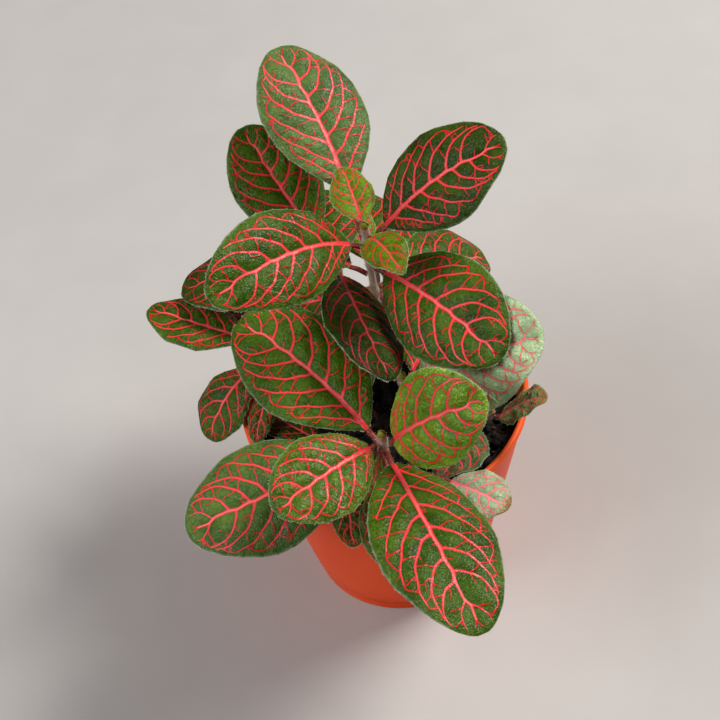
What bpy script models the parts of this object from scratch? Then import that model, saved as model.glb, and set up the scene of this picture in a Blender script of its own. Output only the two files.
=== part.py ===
"""Potted nerve plant: a bushy Fittonia with ten soft stems in a thin plastic nursery pot.

Metres, +Z up. The origin is the centre of the pot's flat underside, and -Y is the front.
"""

import math
from dataclasses import dataclass

import bmesh
import bpy
import numpy as np
from mathutils import Matrix, Vector

MM = 0.001

# Pot, turned round Z: a thin tapered wall with a small foot and a beaded lip.
POT_HEIGHT = 78 * MM
RIM_RADIUS = 42.5 * MM
FOOT_RADIUS = 28.2 * MM
FOOT_HEIGHT = 5 * MM
FOOT_STEP = 1.1 * MM
EDGE_BREAK = 0.8 * MM
WALL = 1.2 * MM
BASE_THICKNESS = 1.6 * MM
LIP_STEP = 0.6 * MM
LIP_DEPTH = 2.2 * MM
LIP_ARC_STEPS = 4
POT_SEGMENTS = 48
DRAIN_RING_RADIUS = 17.5 * MM
DRAIN_HOLE_RADIUS = 3.2 * MM
DRAIN_HOLES = 6
DRAIN_SIDES = 12

# Soil: fills the pot up to a little below the rim.
SOIL_LEVEL = 68 * MM
SOIL_RELIEF = 0.8 * MM
SOIL_EDGE_DROP = 1.0 * MM
SOIL_SEGMENTS = 32
SOIL_RINGS = 5
SOIL_WAVES = 20
SOIL_SEED = 4

# Stems, and the gap that stands between separate pieces.
STEM_RADIUS = 1.25 * MM
NODE_SWELL = 0.3 * MM
NODE_REACH = 1.6 * MM
STEM_DEPTH = 14 * MM
STEM_BEVEL_STEPS = 2
STEM_TIP = 0.7
STEM_HOLE_SIDES = 12
CLEARANCE = 0.3 * MM

# Leaves: a blade's columns run from margin to margin, its rows from petiole to tip.
BLADE_THICKNESS = 0.75 * MM
PETIOLE_RADIUS = 0.85 * MM
PETIOLE_RINGS = 3
KEEL_DEPTH = 0.9 * MM
KEEL_TAPER = 0.75
GROOVE_DEPTH = 0.35 * MM
GROOVE_WIDTH = 0.9 * MM
QUILT_HEIGHT = 0.55 * MM
USUAL_WIDTH = 28
SMALL_WIDTH = 17
SWEEP = 0.18
SWEEP_POWER = 1.3
MARGIN_OFFSET = 2.1
HOOK_START = 0.65
MIDRIB_STEPS = 60
BASE_ROW = 0.035
TIP_ROW = 0.985
BLADE_COLUMNS = (-1.0, -0.6, -0.12, 0.0, 0.12, 0.6, 1.0)
SMALL_COLUMNS = (-1.0, -0.5, 0.0, 0.5, 1.0)

# Colours are linear RGB, each with a roughness.
FINISHES = {
    "pot": ((0.64, 0.068, 0.02), 0.35),
    "soil": ((0.012, 0.008, 0.006), 0.95),
    "stem": ((0.42, 0.27, 0.2), 0.75),
    "mature": ((0.03, 0.11, 0.02), 0.45),
    "fresh": ((0.08, 0.22, 0.02), 0.45),
    "young": ((0.2, 0.34, 0.05), 0.5),
}


@dataclass(frozen=True)
class Stem:
    """One upright stem: where it leaves the soil (x, y) and where it ends (x, y, z), in mm."""

    name: str
    foot: tuple
    top: tuple


@dataclass(frozen=True)
class Leaf:
    """One leaf: its stem, the height of its node, the way it points (degrees) and its sizes (mm)."""

    name: str
    stem: str
    node: float
    azimuth: float
    pitch: float
    length: float
    width: float
    petiole: float = 5.0
    droop: float = 30.0
    bend: float = 0.0
    roll: float = 0.0
    hook: float = 0.0
    widest: float = 0.52
    taper: float = 0.78
    tip: float = 0.54
    fold: float = 0.22
    curl: float = 0.30
    wave: float = 0.6
    waves: float = 3.0
    phase: float = 0.0
    pairs: int = 6
    age: str = "mature"


STEMS = (
    Stem("main", (2, 20), (0.3, 15.3, 131)),
    Stem("front", (-3, -24), (-2.6, -31, 97.5)),
    Stem("back_left", (-6, 28), (-9.1, 26.7, 110)),
    Stem("right", (8, -3), (5.2, -9.6, 95)),
    Stem("far_right", (25, -11), (29.3, -16, 82)),
    Stem("left", (-22, 10), (-30, 13.5, 94)),
    Stem("low_front", (3, -27), (5, -31.5, 83)),
    Stem("low_left", (-14, -16), (-15, -22, 84)),
    Stem("back", (3, 31), (2, 39, 94)),
    Stem("back_right", (18, 15), (20, 20, 88)),
)

LEAVES = (
    # Main stem.
    Leaf("tip_back", "main", 129.5, 99, 28, 18.5, 12.2, petiole=1.5, droop=25, bend=5, tip=0.7,
         widest=0.46, pairs=4, phase=2.9, age="young"),
    Leaf("tip_front", "main", 129.5, -70, 38, 20, 12, petiole=1.5, droop=55, bend=4, roll=10,
         tip=0.7, widest=0.44, pairs=4, phase=3.2, age="young"),
    Leaf("upper_left", "main", 125, -140, 51, 50, 26, droop=65, bend=-10, roll=-35, phase=1.8),
    Leaf("upper_right", "main", 125, 10, 55, 42, 28, droop=40, bend=-10, roll=20, phase=3.8),
    Leaf("top_back", "main", 117, 100, 46, 50, 30, petiole=18, droop=35, bend=15, roll=5,
         phase=5.3),
    Leaf("mid_right", "main", 115, -53, 20, 46, 30, petiole=4, droop=40, roll=30, phase=2),
    Leaf("behind_right", "main", 103, 32, 1, 35, 24, petiole=8, droop=45, bend=-5, roll=15,
         pairs=5, phase=0.7),
    Leaf("rear_right", "main", 96, 58, 10, 30, 20, petiole=6, droop=28, pairs=5, phase=2.2),
    # Back-left stem.
    Leaf("upper_back_left", "back_left", 107, 126, 35, 41, 26, petiole=6, droop=10, bend=-10,
         roll=-5, phase=5.3),
    Leaf("mid_centre", "back_left", 107, -82, 20, 42, 22, droop=40, bend=10, roll=-25, phase=5.9),
    Leaf("behind_left", "back_left", 104, 172, 8, 39, 25, petiole=8, droop=35, pairs=5, phase=6.1),
    Leaf("left_under", "back_left", 91, -178, 4, 24, 19, petiole=2.5, droop=20, pairs=4, phase=0.3),
    Leaf("centre_under", "back_left", 94, -95, 2, 32, 20, petiole=6, droop=25, pairs=5, phase=6.1),
    Leaf("back_upper", "back_left", 99, 97, 14, 32, 22, petiole=4, droop=25, pairs=5, phase=1.4),
    # Left stem.
    Leaf("mid_left", "left", 88.5, 161, 16, 34, 19, petiole=7, droop=20, bend=-15, roll=5,
         pairs=5, phase=4.1),
    Leaf("low_left_hang", "left", 87, -153, 12, 26, 17, petiole=9, droop=80, bend=20, pairs=4,
         phase=5.5),
    Leaf("low_left_small", "left", 86, -117, 2, 17, 7.5, petiole=11, bend=10, roll=5, pairs=3,
         phase=1.1),
    Leaf("left_back", "left", 84, 110, 15, 32, 20, petiole=6, droop=35, pairs=5, phase=6),
    # Front stem.
    Leaf("front_left_young", "front", 95, -141, 25, 34, 24, petiole=2.5, droop=35, bend=-5,
         roll=-20, taper=0.7, pairs=5, phase=2.8, age="fresh"),
    Leaf("front_right_young", "front", 95, -36, 63, 36, 26, petiole=2.5, droop=40, bend=30,
         roll=45, widest=0.49, taper=0.62, pairs=5, phase=1.2, age="fresh"),
    Leaf("front_narrow", "front", 93, -105, 0, 18, 4.5, petiole=2, droop=25, bend=-10, roll=-35,
         pairs=3, phase=2.6, age="young"),
    Leaf("centre_large", "front", 91, 126, 28, 51, 32, petiole=4, bend=10, roll=-10, phase=2.9),
    Leaf("front_large", "front", 91, -76, 20, 58, 32, petiole=6, droop=40, bend=5, roll=-10,
         phase=3.3),
    Leaf("front_under", "front", 88, -88, 0, 28, 18, petiole=6, droop=25, bend=-10, roll=5,
         pairs=4, phase=4.6),
    Leaf("front_left_large", "front", 87, -163, 7, 49, 32, petiole=8, droop=25, bend=-5, roll=-15,
         phase=0),
    # Right stem and the far-right one beside it.
    Leaf("right_large", "right", 92, -21, 52, 44, 32, petiole=4, roll=35, phase=2),
    Leaf("right_under", "right", 88, 60, 12, 30, 22, petiole=4, droop=22, pairs=5, phase=3.3),
    Leaf("rim_curl", "far_right", 80, -35, 56, 20, 13, petiole=2, droop=10, bend=10, hook=60,
         pairs=4, phase=0.5),
    Leaf("right_small", "far_right", 77, -124, 8, 20, 18, petiole=3, droop=10, bend=-10, roll=25,
         pairs=4, phase=4.1),
    # Two low stems at the front.
    Leaf("rim_pale", "low_front", 79.5, -47, 36, 19, 15, petiole=13, droop=45, bend=10, roll=5,
         pairs=4, phase=0.1),
    Leaf("rim_hang", "low_left", 79.5, -89, 34, 17, 9.5, petiole=15, droop=80, hook=20, pairs=3,
         phase=4.6),
    Leaf("low_left_dark", "low_left", 76, 142, 9, 23, 12, droop=15, bend=-5, roll=10, pairs=4,
         phase=6),
    # Two stems at the back.
    Leaf("back_tip", "back", 92.5, 108, 35, 17, 12, petiole=2, pairs=4, phase=5.9, age="young"),
    Leaf("back_right_wide", "back", 90, 15, 8, 22, 16, droop=28, pairs=4, phase=1.3),
    Leaf("back_left_wide", "back", 87.5, 150, 22, 38, 24, petiole=6, droop=35, pairs=5, phase=2.9),
    Leaf("back_low", "back", 83, 95, 22, 35, 23, petiole=8, droop=45, pairs=5, phase=5.6),
    Leaf("right_back_out", "back_right", 84, 0, 12, 17, 13, petiole=4, pairs=4, phase=4.9),
    Leaf("right_back_rear", "back_right", 80.5, 75, 20, 25, 17, droop=35, pairs=4, phase=3.6),
)


def stem_axis(stem, height):
    """The point of a stem's axis at a height, in metres."""
    ground = SOIL_LEVEL / MM
    share = (height / MM - ground) / (stem.top[2] - ground)
    x = stem.foot[0] + (stem.top[0] - stem.foot[0]) * share
    y = stem.foot[1] + (stem.top[1] - stem.foot[1]) * share
    return np.array([x * MM, y * MM, height])


def leaf_root(leaf, stem):
    """Where the petiole starts: just clear of the stem's side, on the leaf's own heading."""
    heading = math.radians(leaf.azimuth)
    reach = STEM_RADIUS + NODE_SWELL + CLEARANCE
    reach += PETIOLE_RADIUS * abs(math.sin(math.radians(leaf.pitch)))
    outward = np.array([math.cos(heading), math.sin(heading), 0.0])
    return stem_axis(stem, leaf.node * MM) + outward * reach


def heading_at(leaf, distance):
    """Unit tangents of a leaf's midrib at distances (m) along petiole and blade."""
    total = (leaf.petiole + leaf.length) * MM
    share = np.clip(distance / total, 0.0, 1.0)
    tail = np.clip((share - HOOK_START) / (1 - HOOK_START), 0.0, 1.0)
    azimuth = np.radians(leaf.azimuth + leaf.bend * share)
    pitch = np.radians(leaf.pitch - leaf.droop * share - leaf.hook * tail**2)
    flat = np.cos(pitch)
    return np.stack([flat * np.cos(azimuth), flat * np.sin(azimuth), np.sin(pitch)], -1)


def midrib(leaf, root, distance):
    """Points of a leaf's midrib at distances (m) from its root."""
    total = (leaf.petiole + leaf.length) * MM
    steps = np.linspace(0.0, total, MIDRIB_STEPS + 1)
    middles = (steps[1:] + steps[:-1]) / 2
    run = heading_at(leaf, middles) * (steps[1] - steps[0])
    path = np.vstack([np.zeros(3), np.cumsum(run, axis=0)]) + root
    return np.stack([np.interp(distance, steps, path[:, k]) for k in range(3)], -1)


def frame_at(leaf, distance):
    """Sideways and upward unit vectors of a leaf at distances (m) along its midrib."""
    forward = heading_at(leaf, distance)
    level = np.cross([0.0, 0.0, 1.0], forward)
    level /= np.linalg.norm(level, axis=-1, keepdims=True)
    upward = np.cross(forward, level)
    roll = math.radians(leaf.roll)
    side = math.cos(roll) * level + math.sin(roll) * upward
    normal = math.cos(roll) * upward - math.sin(roll) * level
    return side, normal


def half_width(leaf, share):
    """Half the blade's width at shares 0..1 of its length: a blunt ellipse, fuller past the middle."""
    skewed = np.clip(share, 0.0, 1.0) ** (math.log(0.5) / math.log(leaf.widest))
    blunt = leaf.taper + (leaf.tip - leaf.taper) * skewed
    return 0.5 * leaf.width * MM * np.sin(np.pi * skewed) ** blunt


def blade_surface(leaf, root, row, column):
    """Points of a blade's middle surface and its upward vectors.

    A row 0..1 runs from the midrib out along a side vein, so it sweeps forward towards the tip.
    A column -1..1 runs from one margin to the other.
    """
    row, column = np.broadcast_arrays(np.asarray(row, float), np.asarray(column, float))
    out = np.abs(column)
    middle = np.sin(np.pi * np.clip(row, 0.0, 1.0))
    sweep = SWEEP * middle
    share = row + sweep * out**SWEEP_POWER
    reach = half_width(leaf, row + sweep)
    across = column * reach
    distance = (leaf.petiole + share * leaf.length) * MM
    side, normal = frame_at(leaf, distance)
    half = 0.5 * leaf.width * MM
    lift = leaf.fold * np.abs(across) - leaf.curl * across**2 / half
    offset = np.where(column < 0, MARGIN_OFFSET, 0.0)
    ripple = np.sin(2 * np.pi * leaf.waves * share + leaf.phase + offset)
    lift = lift + leaf.wave * MM * ripple * out**3 * middle
    size = leaf.width / USUAL_WIDTH
    bulge = np.sin(np.pi * leaf.pairs * row) ** 2 * 4 * out * (1 - out)
    lift = lift + QUILT_HEIGHT * size * bulge * middle**0.5
    lift = lift - GROOVE_DEPTH * size * np.exp(-((across / GROOVE_WIDTH) ** 2)) * (1 - row)
    points = midrib(leaf, root, distance) + side * across[..., None] + normal * lift[..., None]
    return points, normal


def leaf_rings(leaf, root):
    """Closed rings of points from petiole to tip, and how many points each ring has."""
    columns = SMALL_COLUMNS if leaf.width < SMALL_WIDTH else BLADE_COLUMNS
    count = len(columns)
    turn = math.pi * (1 - (np.arange(2 * count) + 0.5) / count)
    rings = []
    for distance in np.linspace(0.0, leaf.petiole * MM, PETIOLE_RINGS):
        centre = midrib(leaf, root, distance)
        side, normal = frame_at(leaf, distance)
        ring = np.cos(turn)[:, None] * side + np.sin(turn)[:, None] * normal
        rings.append(centre + PETIOLE_RADIUS * ring)
    spans = 2 * leaf.pairs
    rows = [BASE_ROW, *(i / spans for i in range(1, spans)), TIP_ROW]
    across = np.array(columns)
    for row in rows:
        top, normal = blade_surface(leaf, root, row, across)
        rib = KEEL_DEPTH * (1 - KEEL_TAPER * row) * (across == 0)
        under = top - normal * (BLADE_THICKNESS + rib)[:, None]
        rings.append(np.vstack([top, under[::-1]]))
    return rings, 2 * count


def leaf_mesh(leaf, root):
    """Vertices and triangles of one leaf: petiole and blade as one closed skin.

    Both faces of the blade are split along the same diagonals, so that it keeps its thickness.
    """
    rings, around = leaf_rings(leaf, root)
    half = around // 2
    faces = []
    for ring in range(len(rings) - 1):
        start = ring * around
        for k in range(around):
            a, b = start + k, start + (k + 1) % around
            c, d = b + around, a + around
            if k < half:
                faces += [(a, c, b), (a, d, c)]
            else:
                faces += [(a, d, b), (b, d, c)]
    last = (len(rings) - 1) * around
    for k in range(half - 1):
        a, b = k, k + 1
        c, d = around - 2 - k, around - 1 - k
        faces += [(a, c, d), (a, b, c)]
        faces += [(last + a, last + d, last + c), (last + a, last + c, last + b)]
    return np.vstack(rings), faces


def finish(obj, kind):
    """Gives an object a material of its own in one of the plant's finishes."""
    colour, roughness = FINISHES[kind]
    material = bpy.data.materials.new(obj.name)
    material.use_nodes = True
    shader = material.node_tree.nodes["Principled BSDF"]
    shader.inputs["Base Color"].default_value = (*colour, 1.0)
    shader.inputs["Roughness"].default_value = roughness
    obj.data.materials.append(material)


def add_object(name, data, parent=None, place=(0.0, 0.0, 0.0)):
    """A new object in the scene, under a parent where it has one, at a place in its parent's frame."""
    obj = bpy.data.objects.new(name, data)
    bpy.context.scene.collection.objects.link(obj)
    obj.parent = parent
    obj.location = place
    return obj


def mesh_of(name, points, faces):
    """A smooth-shaded mesh from vertices and faces."""
    mesh = bpy.data.meshes.new(name)
    mesh.from_pydata([tuple(map(float, point)) for point in points], [], faces)
    mesh.shade_smooth()
    return mesh


def cut(obj, cutter):
    """Takes a cutter out of an object, and keeps the cutter out of the model."""
    cutter.hide_render = True
    cutter.display_type = "WIRE"
    boolean = obj.modifiers.new("cut", "BOOLEAN")
    boolean.operation = "DIFFERENCE"
    boolean.object = cutter


def rods(name, parent, axes, radius, sides):
    """One helper mesh of straight rods, each given as its two ends."""
    shapes = bmesh.new()
    for start, end in axes:
        along = Vector(end) - Vector(start)
        turn = along.to_track_quat("Z", "Y").to_matrix().to_4x4()
        middle = Matrix.Translation((Vector(start) + Vector(end)) / 2)
        bmesh.ops.create_cone(
            shapes,
            cap_ends=True,
            segments=sides,
            radius1=radius,
            radius2=radius,
            depth=along.length,
            matrix=middle @ turn,
        )
    mesh = bpy.data.meshes.new(name)
    shapes.to_mesh(mesh)
    shapes.free()
    return add_object(name, mesh, parent)


def inner_radius(height):
    """The pot's inner radius at a height above its foot."""
    low, high = FOOT_HEIGHT + FOOT_STEP, POT_HEIGHT - LIP_DEPTH
    share = (height - low) / (high - low)
    narrow, wide = FOOT_RADIUS + FOOT_STEP - WALL, RIM_RADIUS - LIP_STEP - WALL
    return narrow + (wide - narrow) * share


def pot_section():
    """The pot's section as (radius, height): inner floor, inner wall, lip, outer wall, underside."""
    bead = (LIP_STEP + WALL) / 2
    turns = [math.pi * (1 - k / LIP_ARC_STEPS) for k in range(LIP_ARC_STEPS + 1)]
    lip = [
        (RIM_RADIUS - bead + bead * math.cos(a), POT_HEIGHT - bead + bead * math.sin(a))
        for a in turns
    ]
    shoulder = FOOT_HEIGHT + FOOT_STEP
    neck = POT_HEIGHT - LIP_DEPTH
    return [
        (0.0, BASE_THICKNESS),
        (FOOT_RADIUS - WALL - EDGE_BREAK, BASE_THICKNESS),
        (FOOT_RADIUS - WALL, BASE_THICKNESS + EDGE_BREAK),
        (FOOT_RADIUS - WALL, FOOT_HEIGHT),
        (FOOT_RADIUS + FOOT_STEP - WALL, shoulder),
        *lip,
        (RIM_RADIUS, neck),
        (RIM_RADIUS - LIP_STEP, neck - LIP_STEP),
        (FOOT_RADIUS + FOOT_STEP, shoulder),
        (FOOT_RADIUS, FOOT_HEIGHT),
        (FOOT_RADIUS, EDGE_BREAK),
        (FOOT_RADIUS - EDGE_BREAK, 0.0),
        (0.0, 0.0),
    ]


def add_pot(parent):
    """The nursery pot: its section turned round Z, with a ring of drain holes through the base."""
    section = pot_section()
    mesh = bpy.data.meshes.new("pot")
    edges = [(k, k + 1) for k in range(len(section) - 1)]
    mesh.from_pydata([(radius, 0.0, height) for radius, height in section], edges, [])
    pot = add_object("pot", mesh, parent)
    screw = pot.modifiers.new("turn", "SCREW")
    screw.steps = POT_SEGMENTS
    screw.render_steps = POT_SEGMENTS
    screw.use_merge_vertices = True
    screw.merge_threshold = 0.01 * MM
    turns = [2 * math.pi * (k + 0.5) / DRAIN_HOLES for k in range(DRAIN_HOLES)]
    spots = [(DRAIN_RING_RADIUS * math.cos(a), DRAIN_RING_RADIUS * math.sin(a)) for a in turns]
    below, above = -2 * BASE_THICKNESS, 3 * BASE_THICKNESS
    axes = [((x, y, below), (x, y, above)) for x, y in spots]
    cut(pot, rods("drain_cutter", parent, axes, DRAIN_HOLE_RADIUS, DRAIN_SIDES))
    finish(pot, "pot")
    return pot


def soil_relief(x, y):
    """The soil's lumps: seeded waves in many directions, from -1 to 1 or so."""
    rng = np.random.default_rng(SOIL_SEED)
    heading = rng.uniform(0, 2 * np.pi, SOIL_WAVES)
    number = 2 * np.pi / (rng.uniform(6, 16, SOIL_WAVES) * MM)
    phase = rng.uniform(0, 2 * np.pi, SOIL_WAVES)
    along = x[..., None] * np.cos(heading) + y[..., None] * np.sin(heading)
    return np.sin(along * number + phase).sum(-1) / math.sqrt(SOIL_WAVES)


def add_soil(parent):
    """The soil: a plug that fills the pot with a small gap, lumpy on top, with a hole for each stem."""
    floor = BASE_THICKNESS + CLEARANCE
    shoulder = FOOT_HEIGHT + FOOT_STEP + CLEARANCE
    edge = SOIL_LEVEL - SOIL_EDGE_DROP
    rim = inner_radius(edge) - CLEARANCE
    foot = FOOT_RADIUS - WALL - CLEARANCE
    section = [
        (foot - EDGE_BREAK, floor),
        (foot, floor + EDGE_BREAK),
        (foot, FOOT_HEIGHT),
        (inner_radius(shoulder) - CLEARANCE, shoulder),
        (rim, edge),
    ]
    shares = 1 - np.arange(1, SOIL_RINGS + 1) / (SOIL_RINGS + 1)
    radii = np.array([radius for radius, _ in section] + list(rim * shares))
    heights = np.array([height for _, height in section] + [SOIL_LEVEL] * SOIL_RINGS)
    turn = np.linspace(0, 2 * np.pi, SOIL_SEGMENTS, endpoint=False)
    x, y = np.outer(radii, np.cos(turn)), np.outer(radii, np.sin(turn))
    z = np.repeat(heights[:, None], SOIL_SEGMENTS, axis=1)
    top = slice(len(section), None)
    z[top] += SOIL_RELIEF * soil_relief(x[top], y[top])
    points = np.stack([x, y, z], -1).reshape(-1, 3)
    count = len(points)
    points = np.vstack([points, [(0, 0, floor), (0, 0, SOIL_LEVEL)]])
    faces = []
    last = count - SOIL_SEGMENTS
    for k in range(SOIL_SEGMENTS):
        after = (k + 1) % SOIL_SEGMENTS
        faces.append((count, after, k))
        faces.append((count + 1, last + k, last + after))
        for start in range(0, last, SOIL_SEGMENTS):
            a, b = start + k, start + after
            faces += [(a, b, b + SOIL_SEGMENTS), (a, b + SOIL_SEGMENTS, a + SOIL_SEGMENTS)]
    soil = add_object("soil", mesh_of("soil", points, faces), parent)
    low = SOIL_LEVEL - STEM_DEPTH - 2 * CLEARANCE
    high = SOIL_LEVEL + 3 * SOIL_RELIEF
    axes = [(stem_axis(stem, low), stem_axis(stem, high)) for stem in STEMS]
    cut(soil, rods("stem_hole_cutter", parent, axes, STEM_RADIUS + CLEARANCE, STEM_HOLE_SIDES))
    finish(soil, "soil")
    return soil


def stem_levels(stem):
    """The heights (m) at which a stem's curve has a point, each with its share of the swelling."""
    top = stem.top[2] * MM
    levels = {SOIL_LEVEL - STEM_DEPTH: 0.0, top - NODE_REACH: 0.0, top: 0.0}
    for leaf in LEAVES:
        if leaf.stem != stem.name:
            continue
        node = leaf.node * MM
        levels[node] = 1.0
        for side in (node - NODE_REACH, node + NODE_REACH):
            levels.setdefault(side, 0.0)
    heights = [height for height in sorted(levels) if height <= top]
    kept = heights[:1]
    for height in heights[1:]:
        if height - kept[-1] > CLEARANCE or height == top:
            kept.append(height)
    return [(height, levels[height]) for height in kept]


def add_stem(stem, parent):
    """A stem as a bevelled curve, its origin where it leaves the soil, swollen at its nodes."""
    foot = stem_axis(stem, SOIL_LEVEL)
    curve = bpy.data.curves.new("stem_" + stem.name, "CURVE")
    curve.dimensions = "3D"
    curve.bevel_depth = STEM_RADIUS
    curve.bevel_resolution = STEM_BEVEL_STEPS
    curve.use_fill_caps = True
    levels = stem_levels(stem)
    spline = curve.splines.new("POLY")
    spline.points.add(len(levels) - 1)
    for point, (height, swelling) in zip(spline.points, levels):
        point.co = (*(stem_axis(stem, height) - foot), 1.0)
        point.radius = 1 + swelling * NODE_SWELL / STEM_RADIUS
    spline.points[-1].radius = STEM_TIP
    obj = add_object(curve.name, curve, parent, foot)
    finish(obj, "stem")
    return obj


def add_leaf(leaf, stem, stem_object):
    """A leaf, hung on its stem with its origin where its petiole starts."""
    root = leaf_root(leaf, stem)
    points, faces = leaf_mesh(leaf, root)
    name = "leaf_" + leaf.name
    place = root - stem_axis(stem, SOIL_LEVEL)
    obj = add_object(name, mesh_of(name, points - root, faces), stem_object, place)
    finish(obj, leaf.age)
    return obj


def main():
    """Clears the scene and builds the plant: pot, soil, then each stem with its leaves."""
    for obj in list(bpy.data.objects):
        bpy.data.objects.remove(obj)
    plant = add_object("potted_nerve_plant", None)
    add_pot(plant)
    add_soil(plant)
    for stem in STEMS:
        stem_object = add_stem(stem, plant)
        for leaf in LEAVES:
            if leaf.stem == stem.name:
                add_leaf(leaf, stem, stem_object)


if __name__ == "__main__":
    main()
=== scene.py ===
"""Potted nerve plant: the fine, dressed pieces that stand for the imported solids.

Metres, +Z up, and the origin is the centre of the pot's flat underside. Lengths in the classes
are millimetres, and MM turns them into metres where a mesh is made.
"""

import logging
import math
from dataclasses import dataclass, replace
from enum import Enum

import bmesh
import bpy
import numpy as np
from mathutils import Matrix, Vector
from mathutils.geometry import delaunay_2d_cdt


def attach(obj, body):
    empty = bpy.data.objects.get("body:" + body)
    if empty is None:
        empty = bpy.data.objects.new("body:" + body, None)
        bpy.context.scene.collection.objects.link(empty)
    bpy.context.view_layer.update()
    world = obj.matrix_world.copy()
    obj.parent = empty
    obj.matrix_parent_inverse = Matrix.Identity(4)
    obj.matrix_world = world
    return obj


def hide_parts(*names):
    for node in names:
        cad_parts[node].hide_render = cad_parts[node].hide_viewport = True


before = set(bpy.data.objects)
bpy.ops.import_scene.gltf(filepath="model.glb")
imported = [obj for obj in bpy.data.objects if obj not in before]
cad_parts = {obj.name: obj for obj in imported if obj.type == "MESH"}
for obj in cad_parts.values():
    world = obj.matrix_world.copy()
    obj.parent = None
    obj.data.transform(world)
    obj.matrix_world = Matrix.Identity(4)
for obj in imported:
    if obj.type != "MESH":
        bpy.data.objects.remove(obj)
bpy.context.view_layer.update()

LOG = logging.getLogger("nerve_plant")
MM = 0.001

Array = np.ndarray
Colour = tuple[float, float, float]
Socket = bpy.types.NodeSocket
Number = float | Socket
Tint = Colour | Socket
Faces = list[tuple[int, ...]]
Material = bpy.types.Material
Piece = bpy.types.Object
Tree = bpy.types.NodeTree
Node = bpy.types.Node
Inputs = dict[str | int, Number | Tint]


# ==== Small tools for meshes and node trees ====


def new_mesh_object(name: str, points: Array, faces: list) -> Piece:
    """Makes a smooth-shaded object from points and faces and links it to the scene.

    Args:
        name: The object's name.
        points: The vertices, in mm.
        faces: Tuples or rows of vertex numbers.

    Returns:
        The new object.
    """
    mesh = bpy.data.meshes.new(name)
    corners = [tuple(int(k) for k in face) for face in faces]
    mesh.from_pydata((np.asarray(points, float) * MM).tolist(), [], corners)
    mesh.shade_smooth()
    made = bpy.data.objects.new(name, mesh)
    bpy.context.scene.collection.objects.link(made)
    return made


def write_attribute(obj: Piece, name: str, values: Array) -> None:
    """Stores one number per vertex under a name that materials can read."""
    layer = obj.data.attributes.new(name, "FLOAT", "POINT")
    layer.data.foreach_set("value", np.asarray(values, np.float32))


def unit(vectors: Array) -> Array:
    """Vectors scaled to length 1, along the last axis."""
    return vectors / np.maximum(np.linalg.norm(vectors, axis=-1, keepdims=True), 1e-12)


def round_turns(count: int) -> Array:
    """The angles of even steps round a full turn, in radians."""
    return np.linspace(0, 2 * np.pi, count, endpoint=False)


def lengths_along(points: Array) -> Array:
    """How far along a path each of its points lies."""
    return np.concatenate([[0], np.cumsum(np.linalg.norm(np.diff(points, axis=0), axis=1))])


def left_normals(points: Array) -> Array:
    """Unit vectors to the left of a flat path, at its points."""
    tangent = unit(np.gradient(points, axis=0))
    return np.stack([-tangent[:, 1], tangent[:, 0]], -1)


def band_faces(rings: int, sides: int, start: int = 0) -> Faces:
    """Quads that join rings of points, each with the one after it.

    Args:
        rings: How many rings there are.
        sides: How many points each ring has.
        start: The number of the first ring's first point.

    Returns:
        The faces.
    """
    faces = []
    for first in range(start, start + (rings - 1) * sides, sides):
        for k in range(sides):
            a, b = first + k, first + (k + 1) % sides
            faces.append((a, b, b + sides, a + sides))
    return faces


def capped_faces(rings: int, sides: int, start: int = 0) -> Faces:
    """Quads as in band_faces, and one flat face at each end."""
    flat = tuple(range(start, start + sides))
    return band_faces(rings, sides, start) + [flat[::-1], tuple(k + (rings - 1) * sides for k in flat)]


def turned_faces(rings: int, sides: int) -> Faces:
    """Quads as in band_faces, and fans to two middle points that follow the last ring.

    Args:
        rings: How many rings there are.
        sides: How many points each ring has.

    Returns:
        The faces.
    """
    count = rings * sides
    faces = []
    for k in range(sides):
        after = (k + 1) % sides
        faces += [(count, after, k), (count + 1, count - sides + k, count - sides + after)]
    return faces + band_faces(rings, sides)


def seat(obj: Piece, material: Material, slot: str, *nodes: str) -> None:
    """Dresses a piece, puts it on the plant's one body, and hides the CAD's nodes that it stands for.

    Args:
        obj: The piece.
        material: Its finish.
        slot: The name of its material slot; not used.
        *nodes: The CAD's nodes that it stands for.
    """
    obj.data.materials.append(material)
    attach(obj, "root")
    if nodes:
        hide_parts(*nodes)
    LOG.info("%s, %d faces", obj.name, len(obj.data.polygons))


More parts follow.
